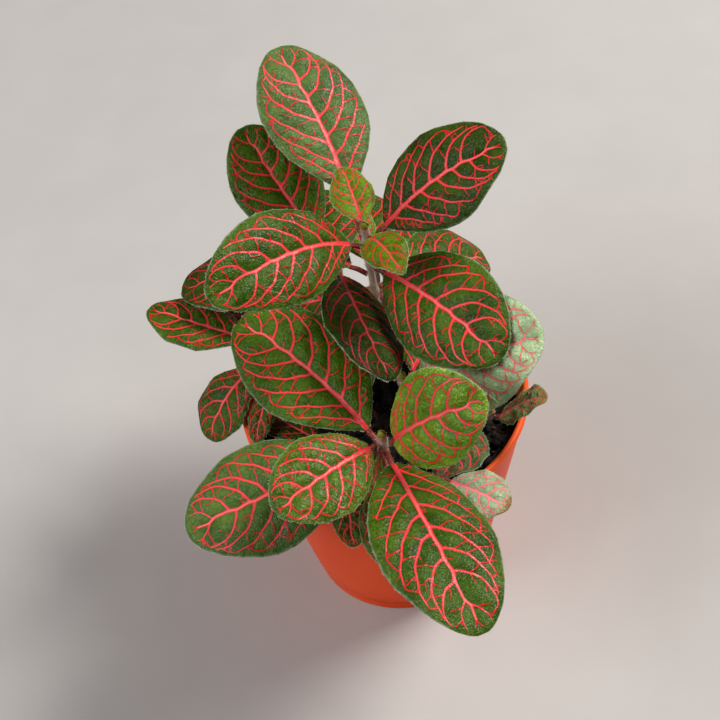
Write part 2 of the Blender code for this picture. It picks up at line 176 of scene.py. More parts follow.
class Wiring:
    """Adds nodes to one node tree and links them by name."""

    def __init__(self, tree: Tree) -> None:
        """Starts on a tree, with the first node at the left."""
        self.tree = tree
        self.column = 0

    def add(self, kind: str, inputs: Inputs | None = None, **settings: object) -> Node:
        """Adds one node.

        Args:
            kind: The node's type name.
            inputs: Socket names or numbers, each with a value or with a socket to link from.
            **settings: Properties of the node itself.

        Returns:
            The new node.
        """
        made = self.tree.nodes.new(kind)
        made.location = (self.column * 190, -140 * (self.column % 4))
        self.column += 1
        for name, value in settings.items():
            setattr(made, name, value)
        self.dress(made, inputs or {})
        return made

    def dress(self, node: Node, values: Inputs) -> None:
        """Sets or links several inputs of a node.

        Args:
            node: The node.
            values: Socket names or numbers, each with a value or with a socket to link from.
        """
        for key, value in values.items():
            if isinstance(value, Socket):
                self.tree.links.new(value, node.inputs[key])
            else:
                node.inputs[key].default_value = value

    def math(self, operation: str, first: Number, second: Number = 0.0, third: Number = 0.0) -> Socket:
        """The result of one Math node on numbers or sockets."""
        inputs = {0: first, 1: second, 2: third}
        return self.add("ShaderNodeMath", inputs, operation=operation).outputs[0]

    def times(self, first: Number, second: Number) -> Socket:
        """The product of two numbers or sockets."""
        return self.math("MULTIPLY", first, second)

    def ramp(
        self, value: Socket, low: float, high: float, start: float = 0.0, end: float = 1.0
    ) -> Socket:
        """A smooth step as a value goes from low to high: start before it, and end after it."""
        inputs = {"Value": value, "From Min": low, "From Max": high, "To Min": start, "To Max": end}
        return self.add("ShaderNodeMapRange", inputs, interpolation_type="SMOOTHSTEP").outputs["Result"]

    def mix(self, share: Number, first: Tint, second: Tint) -> Socket:
        """A colour between two, which are colours or sockets: share is how much of the second."""
        inputs = {0: share, 6: self.colour(first), 7: self.colour(second)}
        return self.add("ShaderNodeMix", inputs, data_type="RGBA").outputs[2]

    def place(self) -> Socket:
        """Where a point is in the plant's frame, in metres."""
        return self.add("ShaderNodeTexCoord").outputs["Object"]

    def group(self, tree: Tree, values: Inputs) -> dict[str, Socket]:
        """Places a shared group with its own values, and gives its outputs by name."""
        return {made.name: made for made in self.add("ShaderNodeGroup", values, node_tree=tree).outputs}

    def noise(
        self, vector: Socket, scale: Number, detail: float = 2.0, roughness: float = 0.5
    ) -> Socket:
        """The value of a noise texture at a scale, in bumps per metre."""
        inputs = {"Vector": vector, "Scale": scale, "Detail": detail, "Roughness": roughness}
        return self.add("ShaderNodeTexNoise", inputs).outputs[0]

    def bump(self, height: Socket, strength: float, distance: float) -> Socket:
        """The normal that a height makes, which stands for a relief of a distance in metres."""
        inputs = {"Strength": strength, "Distance": distance, "Height": height}
        return self.add("ShaderNodeBump", inputs).outputs[0]

    def attribute(self, name: str) -> Socket:
        """The value of a vertex attribute."""
        return self.add("ShaderNodeAttribute", attribute_name=name).outputs["Fac"]

    @staticmethod
    def colour(value: Tint) -> Tint | tuple[float, ...]:
        """A colour with its alpha, or the socket as it is."""
        return value if isinstance(value, Socket) else (*value, 1.0)


def new_group(
    name: str, inputs: dict[str, float], outputs: tuple[str, ...]
) -> tuple[Wiring, Node, Node]:
    """Makes an empty shader node group whose sockets are all numbers.

    Args:
        name: The group's name.
        inputs: Input names with their default values.
        outputs: Output names.

    Returns:
        The group's wiring, its input node and its output node.
    """
    tree = bpy.data.node_groups.new(name, "ShaderNodeTree")
    for label, default in inputs.items():
        socket = tree.interface.new_socket(label, in_out="INPUT", socket_type="NodeSocketFloat")
        socket.default_value = default
    for label in outputs:
        tree.interface.new_socket(label, in_out="OUTPUT", socket_type="NodeSocketFloat")
    wiring = Wiring(tree)
    return wiring, wiring.add("NodeGroupInput"), wiring.add("NodeGroupOutput")


# ==== Shader node groups that several finishes share ====


class Effects:
    """The node groups, each built once and placed in materials with its own values."""

    def __init__(self) -> None:
        """Builds every group."""
        self.mottle = self.build_mottle()
        self.papillae = self.build_papillae()
        self.vein_band = self.build_vein_band()
        self.grain = self.build_grain()

    @staticmethod
    def build_mottle() -> Tree:
        """Soft patches in two sizes: Coarse and Fine set the bumps per metre.

        Returns:
            The group.
        """
        inputs = {"Coarse": 120.0, "Fine": 900.0, "Fine Share": 0.35}
        w, source, sink = new_group("soft_mottle", inputs, ("Value",))
        place = w.place()
        large = w.noise(place, source.outputs["Coarse"], 3.0)
        small = w.noise(place, source.outputs["Fine"], 2.0)
        share = source.outputs["Fine Share"]
        kept = w.math("SUBTRACT", 1.0, share)
        total = w.math("MULTIPLY_ADD", small, share, w.times(large, kept))
        w.dress(sink, {"Value": w.ramp(total, 0.34, 0.66)})
        return w.tree

    @staticmethod
    def build_papillae() -> Tree:
        """A velvety skin: tiny domes as a height, with glints and sparse specks as masks.

        Returns:
            The group.
        """
        inputs = {"Domes": 2300.0, "Specks": 900.0, "Speck Size": 0.13}
        outputs = ("Height", "Speck", "Glint")
        w, source, sink = new_group("leaf_papillae", inputs, outputs)
        place = w.place()
        cells = {"Vector": place, "Scale": source.outputs["Domes"]}
        dome = w.add("ShaderNodeTexVoronoi", cells, feature="SMOOTH_F1")
        height = w.math("SUBTRACT", 1.0, dome.outputs["Distance"])
        glint = w.ramp(w.noise(place, 1500.0, 4.0, 0.75), 0.46, 0.64)
        dots = {"Vector": place, "Scale": source.outputs["Specks"]}
        dot = w.add("ShaderNodeTexVoronoi", dots, feature="F1")
        near = w.math("LESS_THAN", dot.outputs["Distance"], source.outputs["Speck Size"])
        tint = w.add("ShaderNodeSeparateColor", {"Color": dot.outputs["Color"]})
        chosen = w.math("GREATER_THAN", tint.outputs[0], 0.86)
        w.dress(sink, {"Height": height, "Glint": glint, "Speck": w.times(near, chosen)})
        return w.tree

    @staticmethod
    def build_vein_band() -> Tree:
        """Turns the distance to a vein, in half-widths, into a band with a ragged edge.

        Returns:
            The group.
        """
        inputs = {"Reach": 2.0, "Softness": 0.2, "Ragged": 0.75}
        w, source, sink = new_group("vein_band", inputs, ("Band", "Core"))
        place = w.place()
        noise = w.math("SUBTRACT", w.noise(place, 1500.0, 1.0), 0.5)
        moved = w.math("MULTIPLY_ADD", noise, source.outputs["Ragged"], source.outputs["Reach"])
        low = w.math("SUBTRACT", 1.0, source.outputs["Softness"])
        band = w.ramp(moved, 0.0, 1.0, 1.0, 0.0)
        w.dress(band.node, {"From Min": low})
        w.dress(sink, {"Band": band, "Core": w.ramp(source.outputs["Reach"], 0.0, 0.8, 1.0, 0.0)})
        return w.tree

    @staticmethod
    def build_grain() -> Tree:
        """A fine uneven grain for moulded plastic, peat and stems: a value and a height.

        Returns:
            The group.
        """
        w, source, sink = new_group("fine_grain", {"Scale": 700.0}, ("Value", "Height"))
        noise = w.noise(w.place(), source.outputs["Scale"], 4.0, 0.6)
        w.dress(sink, {"Value": w.ramp(noise, 0.3, 0.7), "Height": noise})
        return w.tree


def new_material(name: str) -> tuple[Material, Wiring, Node]:
    """Makes a material and gives it back with its wiring and its Principled BSDF.

    Args:
        name: The material's name.

    Returns:
        The material, its wiring and its shader.
    """
    material = bpy.data.materials.new(name)
    material.use_nodes = True
    shader = material.node_tree.nodes["Principled BSDF"]
    shader.location = (2600, 0)
    return material, Wiring(material.node_tree), shader


# ==== Leaves: sizes and form ====

SOIL_LEVEL = 68.0
STEM_RADIUS = 1.25
NODE_SWELL = 0.3
CLEARANCE = 0.3
PETIOLE_RADIUS = 0.85
GROOVE_DEPTH = 0.35
GROOVE_WIDTH = 0.9
USUAL_WIDTH = 28.0

# How far forward (share of the length) the leaf's rows sweep from midrib to margin.
SWEEP = 0.18
SWEEP_POWER = 1.3
SWEEP_HALVINGS = 26

# How far the ripple of one margin runs behind the other's, in radians.
MARGIN_OFFSET = 2.1
HOOK_START = 0.65
MIDRIB_STEPS = 60

# The blade's outline starts and ends at these shares of the length.
FIRST_SHARE = 0.012
LAST_SHARE = 0.996
NOTCH_DEPTH = 0.2
NOTCH_WIDTH = 0.028


class Age(Enum):
    """How old a leaf is, by the name of its material slot."""

    MATURE = "mature_leaf"
    FRESH = "fresh_leaf"
    YOUNG = "young_leaf"


@dataclass(frozen=True)
class Stem:
    """One stem: its foot on the soil (x, y) and its top (x, y, z), in mm."""

    name: str
    foot: tuple[float, float]
    top: tuple[float, float, float]

    def axis(self, height: float) -> Array:
        """The point of the stem's axis at a height, in mm."""
        share = (height - SOIL_LEVEL) / (self.top[2] - SOIL_LEVEL)
        return np.array([*(a + (b - a) * share for a, b in zip(self.foot, self.top)), height])


@dataclass(frozen=True)
class Leaf:
    """One leaf: stem, height of its node, the way it points (degrees) and its sizes (mm)."""

    name: str
    stem: str
    node: float
    azimuth: float
    pitch: float
    length: float
    width: float
    petiole: float = 5.0
    droop: float = 30.0
    bend: float = 0.0
    roll: float = 0.0
    hook: float = 0.0
    widest: float = 0.52
    taper: float = 0.78
    tip: float = 0.54
    fold: float = 0.22
    curl: float = 0.30
    wave: float = 0.6
    waves: float = 3.0
    phase: float = 0.0
    pairs: int = 6
    age: Age = Age.MATURE
    # Painted light and shade: the two tones below scale a leaf's colours, under 1 for a leaf that stood in
    # shade and over 1 for one that stood in light, and the veins' tone also scales their gloss. pale greys
    # the colours, a painted sheen on a leaf that faced the light.
    tone: float = 1.0
    painted_vein_light_shade: float = 1.0
    pale: float = 0.0
    dry_tip: float = 0.0
    notch: float = 0.0

    @property
    def size(self) -> float:
        """The leaf's width as a share of a usual one."""
        return self.width / USUAL_WIDTH

    def root(self, stem: Stem) -> Array:
        """Where the petiole starts, just clear of the stem, in mm.

        Args:
            stem: The stem that carries the leaf.

        Returns:
            The point.
        """
        heading = math.radians(self.azimuth)
        reach = STEM_RADIUS + NODE_SWELL + CLEARANCE
        reach += PETIOLE_RADIUS * abs(math.sin(math.radians(self.pitch)))
        outward = np.array([math.cos(heading), math.sin(heading), 0.0])
        return stem.axis(self.node) + outward * reach

    def heading(self, distance: Array) -> Array:
        """Unit tangents of the midrib at distances (mm) along petiole and blade.

        Args:
            distance: Distances from the petiole's root.

        Returns:
            One unit vector for each.
        """
        share = np.clip(distance / (self.petiole + self.length), 0.0, 1.0)
        tail = np.clip((share - HOOK_START) / (1 - HOOK_START), 0.0, 1.0)
        azimuth = np.radians(self.azimuth + self.bend * share)
        pitch = np.radians(self.pitch - self.droop * share - self.hook * tail**2)
        flat = np.cos(pitch)
        return np.stack([flat * np.cos(azimuth), flat * np.sin(azimuth), np.sin(pitch)], -1)

    def midrib(self, root: Array, distance: Array) -> Array:
        """Points of the midrib at distances (mm) from its root.

        Args:
            root: Where the petiole starts.
            distance: Distances from there.

        Returns:
            One point for each.
        """
        total = self.petiole + self.length
        steps = np.linspace(0.0, total, MIDRIB_STEPS + 1)
        run = self.heading((steps[1:] + steps[:-1]) / 2) * (steps[1] - steps[0])
        path = np.vstack([np.zeros(3), np.cumsum(run, axis=0)]) + root
        return np.stack([np.interp(distance, steps, path[:, k]) for k in range(3)], -1)

    def axes(self, distance: Array) -> tuple[Array, Array]:
        """Sideways and upward unit vectors at distances (mm) along the midrib.

        Args:
            distance: Distances from the petiole's root.

        Returns:
            The sideways and the upward vectors.
        """
        forward = self.heading(distance)
        level = unit(np.cross([0.0, 0.0, 1.0], forward))
        upward = np.cross(forward, level)
        roll = math.radians(self.roll)
        side = math.cos(roll) * level + math.sin(roll) * upward
        return side, math.cos(roll) * upward - math.sin(roll) * level

    def half_width(self, share: Array) -> Array:
        """Half the blade's width (mm) at shares 0..1 of its length.

        Args:
            share: Shares of the blade's length, from its base.

        Returns:
            The half-widths.
        """
        skewed = np.clip(share, 0.0, 1.0) ** (math.log(0.5) / math.log(self.widest))
        blunt = self.taper + (self.tip - self.taper) * skewed
        return 0.5 * self.width * np.sin(np.pi * skewed) ** blunt

    def row_and_out(self, flat: Array) -> tuple[Array, Array]:
        """For flat points (mm): the row that sweeps through each, and its share of the way out.

        Args:
            flat: Points as (distance from the blade's base, distance from the midrib).

        Returns:
            The rows and the shares from midrib (0) to margin (1).
        """
        share = flat[:, 0] / self.length
        low = np.zeros(len(flat))
        high = np.ones(len(flat))
        for _ in range(SWEEP_HALVINGS):
            row = (low + high) / 2
            sweep = SWEEP * np.sin(np.pi * row)
            width = np.maximum(self.half_width(row + sweep), 1e-6)
            out = np.clip(np.abs(flat[:, 1]) / width, 0.0, 1.0)
            past = row + sweep * out**SWEEP_POWER > share
            high = np.where(past, row, high)
            low = np.where(past, low, row)
        return row, out

    def lift(self, flat: Array) -> tuple[Array, Array]:
        """The blade's smooth form over its flat plan, with each point's share of the way out.

        Args:
            flat: Points as (distance from the blade's base, distance from the midrib).

        Returns:
            The heights in mm, and the shares from midrib (0) to margin (1).
        """
        row, out = self.row_and_out(flat)
        across = np.abs(flat[:, 1])
        middle = np.sin(np.pi * np.clip(row, 0.0, 1.0))
        offset = np.where(flat[:, 1] < 0, MARGIN_OFFSET, 0.0)
        ripple = np.sin(2 * np.pi * self.waves * flat[:, 0] / self.length + self.phase + offset)
        lift = self.fold * across - self.curl * across**2 / (0.5 * self.width)
        lift += self.wave * ripple * out**3 * middle
        groove = np.exp(-((across / GROOVE_WIDTH) ** 2)) * (1 - row)
        return lift - GROOVE_DEPTH * self.size * groove, out


STEMS = (
    Stem("main", (2, 20), (0.3, 15.3, 131)),
    Stem("front", (-3, -24), (-2.6, -31, 97.5)),
    Stem("back_left", (-6, 28), (-9.1, 26.7, 110)),
    Stem("right", (8, -3), (5.2, -9.6, 95)),
    Stem("far_right", (25, -11), (29.3, -16, 82)),
    Stem("left", (-22, 10), (-30, 13.5, 94)),
    Stem("low_front", (3, -27), (5, -31.5, 83)),
    Stem("low_left", (-14, -16), (-15, -22, 84)),
    Stem("back", (3, 31), (2, 39, 94)),
    Stem("back_right", (18, 15), (20, 20, 88)),
)

YOUNG, FRESH = Age.YOUNG, Age.FRESH
AGE_VEINS = {Age.MATURE: 1.0, Age.FRESH: 1.05, Age.YOUNG: 0.95}
AGE_RELIEF = {Age.MATURE: 1.0, Age.FRESH: 2.0, Age.YOUNG: 1.6}

# Some leaves below carry painted light and shade: a tone under 1 darkens a leaf that stood in shade, a tone
# over 1 lightens one that stood in light, and pale is a painted sheen.
LEAVES = (
    # Main stem.
    Leaf("tip_back", "main", 129.5, 99, 28, 18.5, 12.2, petiole=1.5, droop=25, bend=5, tip=0.7,
         widest=0.46, pairs=4, phase=2.9, age=YOUNG, tone=0.85),
    Leaf("tip_front", "main", 129.5, -70, 38, 20, 12, petiole=1.5, droop=55, bend=4, roll=10,
         tip=0.7, widest=0.44, pairs=4, phase=3.2, age=YOUNG, tone=0.7, painted_vein_light_shade=0.85),
    Leaf("upper_left", "main", 125, -140, 51, 50, 26, droop=65, bend=-10, roll=-35, phase=1.8),
    Leaf("upper_right", "main", 125, 10, 55, 42, 28, droop=40, bend=-10, roll=20, phase=3.8,
         notch=0.72, tone=0.6, painted_vein_light_shade=0.95),
    Leaf("top_back", "main", 117, 100, 46, 50, 30, petiole=18, droop=35, bend=15, roll=5,
         phase=5.3, tone=1.2, pale=0.15),
    Leaf("mid_right", "main", 115, -53, 20, 46, 30, petiole=4, droop=40, roll=30, phase=2),
    Leaf("behind_right", "main", 103, 32, 1, 35, 24, petiole=8, droop=45, bend=-5, roll=15,
         pairs=5, phase=0.7),
    Leaf("rear_right", "main", 96, 58, 10, 30, 20, petiole=6, droop=28, pairs=5, phase=2.2),
    # Back-left stem.
    Leaf("upper_back_left", "back_left", 107, 126, 35, 41, 26, petiole=6, droop=10, bend=-10,
         roll=-5, phase=5.3, tone=1.2),
    Leaf("mid_centre", "back_left", 107, -82, 20, 42, 22, droop=40, bend=10, roll=-25, phase=5.9,
         tone=0.36, painted_vein_light_shade=0.36),
    Leaf("behind_left", "back_left", 104, 172, 8, 39, 25, petiole=8, droop=35, pairs=5, phase=6.1,
         tone=0.6, painted_vein_light_shade=0.75),
    Leaf("left_under", "back_left", 91, -178, 4, 24, 19, petiole=2.5, droop=20, pairs=4, phase=0.3),
    Leaf("centre_under", "back_left", 94, -95, 2, 32, 20, petiole=6, droop=25, pairs=5, phase=6.1),
    Leaf("back_upper", "back_left", 99, 97, 14, 32, 22, petiole=4, droop=25, pairs=5, phase=1.4),
    # Left stem.
    Leaf("mid_left", "left", 88.5, 161, 16, 34, 19, petiole=7, droop=20, bend=-15, roll=5,
         pairs=5, phase=4.1),
    Leaf("low_left_hang", "left", 87, -153, 12, 26, 17, petiole=9, droop=80, bend=20, pairs=4,
         phase=5.5),
    Leaf("low_left_small", "left", 86, -117, 2, 17, 7.5, petiole=11, bend=10, roll=5, pairs=3,
         phase=1.1),
    Leaf("left_back", "left", 84, 110, 15, 32, 20, petiole=6, droop=35, pairs=5, phase=6),
    # Front stem.
    Leaf("front_left_young", "front", 95, -141, 25, 34, 24, petiole=2.5, droop=35, bend=-5,
         roll=-20, taper=0.7, pairs=5, phase=2.8, age=FRESH, tone=0.64),
    Leaf("front_right_young", "front", 95, -36, 63, 36, 26, petiole=2.5, droop=40, bend=30,
         roll=45, widest=0.49, taper=0.62, pairs=5, phase=1.2, age=FRESH, tone=1.35,
         painted_vein_light_shade=1.2),
    Leaf("front_narrow", "front", 93, -105, 0, 18, 4.5, petiole=2, droop=25, bend=-10, roll=-35,
         pairs=3, phase=2.6, age=YOUNG),
    Leaf("centre_large", "front", 91, 126, 28, 51, 32, petiole=4, bend=10, roll=-10, phase=2.9,
         tone=1.3, painted_vein_light_shade=1.25),
    Leaf("front_large", "front", 91, -76, 20, 58, 32, petiole=6, droop=40, bend=5, roll=-10,
         phase=3.3),
    Leaf("front_under", "front", 88, -88, 0, 28, 18, petiole=6, droop=25, bend=-10, roll=5,
         pairs=4, phase=4.6),
    Leaf("front_left_large", "front", 87, -163, 7, 49, 32, petiole=8, droop=25, bend=-5, roll=-15,
         phase=0, tone=1.2, pale=0.1),
    # Right stem and the far-right one beside it.
    Leaf("right_large", "right", 92, -21, 52, 44, 32, petiole=4, roll=35, phase=2, pale=0.75,
         tone=2.7, painted_vein_light_shade=1.3),
    Leaf("right_under", "right", 88, 60, 12, 30, 22, petiole=4, droop=22, pairs=5, phase=3.3),
    Leaf("rim_curl", "far_right", 80, -35, 56, 20, 13, petiole=2, droop=10, bend=10, hook=60,
         pairs=4, phase=0.5, tone=2.0, painted_vein_light_shade=0.9, pale=0.3, dry_tip=0.1),
    Leaf("right_small", "far_right", 77, -124, 8, 20, 18, petiole=3, droop=10, bend=-10, roll=25,
         pairs=4, phase=4.1, pale=0.3),
    # Two low stems at the front.
    Leaf("rim_pale", "low_front", 79.5, -47, 36, 19, 15, petiole=13, droop=45, bend=10, roll=5,
         pairs=4, phase=0.1, tone=1.5, painted_vein_light_shade=1.15, pale=1.0, dry_tip=0.035),
    Leaf("rim_hang", "low_left", 79.5, -89, 34, 17, 9.5, petiole=15, droop=80, hook=20, pairs=3,
         phase=4.6),
    Leaf("low_left_dark", "low_left", 76, 142, 9, 23, 12, droop=15, bend=-5, roll=10, pairs=4,
         phase=6),
    # Two stems at the back.
    Leaf("back_tip", "back", 92.5, 108, 35, 17, 12, petiole=2, pairs=4, phase=5.9, age=YOUNG),
    Leaf("back_right_wide", "back", 90, 15, 8, 22, 16, droop=28, pairs=4, phase=1.3),
    Leaf("back_left_wide", "back", 87.5, 150, 22, 38, 24, petiole=6, droop=35, pairs=5, phase=2.9),
    Leaf("back_low", "back", 83, 95, 22, 35, 23, petiole=8, droop=45, pairs=5, phase=5.6),
    Leaf("right_back_out", "back_right", 84, 0, 12, 17, 13, petiole=4, pairs=4, phase=4.9),
    Leaf("right_back_rear", "back_right", 80.5, 75, 20, 25, 17, droop=35, pairs=4, phase=3.6),
)


# ==== Veins ====


class Rank(Enum):
    """A vein's place in the net: the number is what the leaf's material reads."""

    MIDRIB = 0
    SIDE = 1
    LINK = 2
    PETIOLE = 3


@dataclass
class Vein:
    """One vein on the flat blade: its points and its half-width at each, in mm."""

    points: Array
    halves: Array
    rank: Rank

    def at(self, share: float) -> Array:
        """The point at a share 0..1 of the vein's points."""
        last = len(self.points) - 1
        return np.array([np.interp(share * last, np.arange(last + 1), xy) for xy in self.points.T])


# The last pair of side veins leaves the midrib near this share of the blade.
LAST_PAIR = 0.82

# What the marks say on the blade's very edge: the distance to a vein, and the share out.
EDGE_REACH = 6.0
EDGE_OUT = 1.05


@dataclass
class VeinNet:
    """The net of veins of one leaf, grown from a seed."""

    leaf: Leaf
    seed: int
    midrib_half: float = 0.8
    side_half: float = 0.43
    link_half: float = 0.21
    side_end: float = 0.87
    side_reach: float = 0.33
    midrib_end: float = 0.93
    margin: float = 0.935
    step: float = 0.7

    def __post_init__(self) -> None:
        """Grows the midrib and the side veins, then the loops, links and spurs among them."""
        self.rng = np.random.default_rng(self.seed)
        self.thin = self.leaf.size**0.5 * AGE_VEINS[self.leaf.age]
        starts = {side: self.starts(side) for side in (-1, 1)}
        self.veins: list[Vein] = [self.grow_midrib(starts)]
        flanks = {side: [self.grow_side(side, start) for start in starts[side]] for side in (-1, 1)}
        self.veins += flanks[-1] + flanks[1]
        for side in (-1, 1):
            self.grow_arches(flanks[side], side)
        for side in (-1, 1):
            self.grow_rungs(flanks[side], side)
            self.grow_outward(flanks[side][0], side)
        self.grow_tip()
        self.grow_spurs(flanks)
        self.grow_dots()

    def starts(self, side: int) -> list[float]:
        """Where the side veins of one side leave the midrib, as shares of the blade.

        Args:
            side: 1 for the left of the midrib, -1 for its right.

        Returns:
            The shares, from the base up.
        """
        count = self.leaf.pairs
        shift = 0.1 if side > 0 else 0.42
        rows = [(k + shift + self.rng.uniform(-0.1, 0.1)) / (count + 0.2) for k in range(count)]
        return [0.02 + 0.82 * row**0.95 for row in rows] + [LAST_PAIR + 0.025 + 0.012 * side]

    def half_width(self, x: Array) -> Array:
        """Half the blade's width at distances from its base, in mm."""
        return self.leaf.half_width(np.asarray(x) / self.leaf.length)

    def inside(self, points: Array, most: float) -> Array:
        """Points drawn back towards the midrib where they pass a share of the half-width.

        Args:
            points: Points on the flat blade.
            most: The greatest share of the half-width.

        Returns:
            The points, moved where needed.
        """
        points = points.copy()
        points[:, 0] = np.clip(points[:, 0], 0.0, 0.975 * self.leaf.length)
        limit = most * self.half_width(points[:, 0])
        points[:, 1] = np.clip(points[:, 1], -limit, limit)
        return points

    def zigzag(self, points: Array, size: float, pitch: float) -> Array:
        """Points of a path bent this way and that, with both its ends kept.

        Args:
            points: The path.
            size: How far it swings, in mm.
            pitch: The distance from one bend to the next, in mm.

        Returns:
            The bent path.
        """
        along = lengths_along(points)
        knots = np.arange(0, along[-1] + pitch, pitch)
        swing = size * self.rng.uniform(0.3, 1.0, len(knots)) * (-1) ** np.arange(len(knots))
        held = np.clip(np.minimum(along, along[-1] - along) / (0.6 * pitch), 0, 1)
        return points + left_normals(points) * (np.interp(along, knots, swing) * held)[:, None]

    def grow_midrib(self, starts: dict[int, list[float]]) -> Vein:
        """The midrib, which swings a little towards each side vein that leaves it.

        Args:
            starts: Where the side veins of each side leave it.

        Returns:
            The midrib.
        """
        length = self.leaf.length
        turns = sorted((start, side) for side in starts for start in starts[side])
        knots = np.array([0.0] + [start for start, _ in turns] + [self.midrib_end])
        swings = np.array([0.0] + [side * (0.05 + 0.62 * start**2) for start, side in turns] + [0.0])
        x = np.linspace(0.0, self.midrib_end * length, max(12, int(length / 0.9)))
        share = x / length
        sway = self.thin * np.interp(share, knots, swings)
        sway = np.convolve(np.pad(sway, 1, mode="edge"), (0.25, 0.5, 0.25), mode="valid")
        halves = self.midrib_half * self.thin * (1 - 0.46 * share - 0.22 * share**4)
        return Vein(np.stack([x, sway], -1), halves, Rank.MIDRIB)

    def grow_side(self, side: int, start: float) -> Vein:
        """One side vein, which leaves the midrib and curves forward towards the margin.

        Args:
            side: The side of the midrib.
            start: Where it leaves, as a share of the blade.

        Returns:
            The side vein.
        """
        length = self.leaf.length
        most = self.side_reach * (0.72 + 0.5 * min(start, 0.56))
        reach = length * min(most, 0.7 * (1 - start)) * self.rng.uniform(0.94, 1.06)
        span = math.hypot(reach, self.leaf.width / 2)
        t = np.linspace(0, 1, max(6, int(span / self.step)))
        last = start > LAST_PAIR
        curve = 0.25 if last else 0.55
        x = start * length + reach * ((1 - curve) * t + curve * t**2)
        end = self.side_end * self.rng.uniform(0.95, 1.03) * (0.72 if last else 1.0)
        y = side * end * t ** (1.0 if last else 0.84) * self.half_width(x)
        origin = self.veins[0].points
        y += np.interp(x[0], origin[:, 0], origin[:, 1]) * (1 - t)
        points = self.zigzag(np.stack([x, y], -1), 0.26 * self.thin, 3.6 * self.thin)
        weight = (1 - 0.5 * abs(start - 0.42)) * (0.72 if last else 1.0)
        halves = self.side_half * self.thin * weight * (1 - 0.48 * t)
        flare = 0.3 * self.side_half * self.thin * np.exp(-t * 16)
        return Vein(points, halves + flare, Rank.SIDE)

    def bow(self, start: Array, end: Array, depth: float) -> Array:
        """A bent line between two points, deeper the larger the depth.

        Args:
            start: The line's start.
            end: The line's end.
            depth: How deep it bends, as a share of its length.

        Returns:
            The line's points.
        """
        gap = np.linalg.norm(end - start)
        across = np.array([start[1] - end[1], end[0] - start[0]])
        middle = (start + end) / 2 + depth * across
        t = np.linspace(0, 1, max(4, int(gap / self.step) + 2))[:, None]
        return (1 - t) ** 2 * start + 2 * t * (1 - t) * middle + t**2 * end

    def nearest(self, points: Array) -> tuple[Array, Array]:
        """For each point: its distance from the veins so far, and the nearest point on them.

        Args:
            points: Points on the flat blade.

        Returns:
            The distances and the nearest points.
        """
        starts, ends, _, _, _ = self.segments(tuple(Rank))
        run = ends - starts
        away = points[:, None, :] - starts
        t = np.clip((away * run).sum(-1) / np.maximum((run**2).sum(-1), 1e-9), 0, 1)
        foot = starts + t[..., None] * run
        gap = np.linalg.norm(points[:, None, :] - foot, axis=-1)
        chosen = gap.argmin(1)
        every = np.arange(len(points))
        return gap[every, chosen], foot[every, chosen]

    def add_thin(self, path: Array, half: float, joins: bool) -> Vein | None:
        """Adds a thin vein along a path, up to where it meets another or nears the margin.

        Args:
            path: The way it would grow, in mm.
            half: Its half-width at the start, in mm.
            joins: Whether it runs on into the vein that it meets, or stops short of it.

        Returns:
            The vein, or None where it would be too short to see.
        """
        gap, foot = self.nearest(path)
        along = lengths_along(path)
        room = 0.75 * self.thin if joins else 1.15 * self.thin
        past_start = along > 1.3 * self.thin
        out = np.abs(path[:, 1]) / np.maximum(self.half_width(path[:, 0]), 1e-6)
        beyond = (out > self.margin) | (path[:, 0] > 0.97 * self.leaf.length)
        stops = np.flatnonzero((past_start & (gap < room)) | beyond)
        met = False
        if len(stops):
            stop = int(stops[0])
            met = joins and not beyond[stop]
            path = np.vstack([path[:stop], foot[stop]]) if met else path[:stop]
        if len(path) < 3 or along[len(path) - 1] < 1.1 * self.thin:
            return None
        path = self.zigzag(path, 0.1 * self.thin, 1.8 * self.thin)
        t = np.linspace(0, 1, len(path))
        vein = Vein(path, half * (1 - (0.1 if met else 0.38) * t), Rank.LINK)
        self.veins.append(vein)
        return vein

    def fork(self, vein: Vein | None) -> None:
        """Splits the end of a free thin vein in two short prongs.

        Args:
            vein: The vein, or None where none grew.
        """
        if vein is None or self.rng.random() > 0.45:
            return
        along = unit(vein.points[-1] - vein.points[-2])
        across = np.array([-along[1], along[0]])
        for way in (-1, 1):
            reach = self.rng.uniform(1.1, 2.0) * self.thin
            end = vein.points[-1] + reach * unit(0.75 * along + way * 0.7 * across)
            self.add_thin(self.bow(vein.points[-1], end, 0.15 * way), float(vein.halves[-1]), False)

    def grow_arches(self, sides: list[Vein], side: int) -> None:
        """Rounded loops along the margin, from each side vein's end to the next side vein.

        Args:
            sides: The side veins of one side, from the base up.
            side: The side of the midrib.
        """
        half = 1.08 * self.link_half * self.thin
        for lower, upper in zip(sides, sides[1:]):
            begin = lower.points[-1]
            end = upper.at(self.rng.uniform(0.78, 0.92))
            outs = [abs(p[1]) / float(self.half_width(p[0])) for p in (begin, end)]
            gap = end[0] - begin[0]
            if gap < 1.0 or self.rng.random() < 0.12:
                continue
            t = np.linspace(0, 1, max(5, int(1.3 * gap / self.step)))
            x = begin[0] + gap * t
            out = outs[0] + (outs[1] - outs[0]) * t + 0.07 * np.sin(np.pi * t)
            path = np.stack([x, side * np.minimum(out, self.margin) * self.half_width(x)], -1)
            path[-1] = end
            arch = Vein(self.zigzag(path, 0.12 * self.thin, 1.9), np.full(len(path), half), Rank.LINK)
            self.veins.append(arch)
            for share in (0.25, 0.7):
                self.grow_tooth(arch.at(share), side)

    def grow_tooth(self, begin: Array, side: int) -> None:
        """One short free vein from a loop towards the margin.

        Args:
            begin: Where it leaves the loop.
            side: The side of the midrib.
        """
        if self.rng.random() < 0.35:
            return
        reach = self.rng.uniform(1.2, 2.2) * self.thin
        end = begin + reach * unit(np.array([self.rng.uniform(0.3, 1.2), side]))
        self.add_thin(self.bow(begin, end, 0.12 * side), 0.8 * self.link_half * self.thin, False)

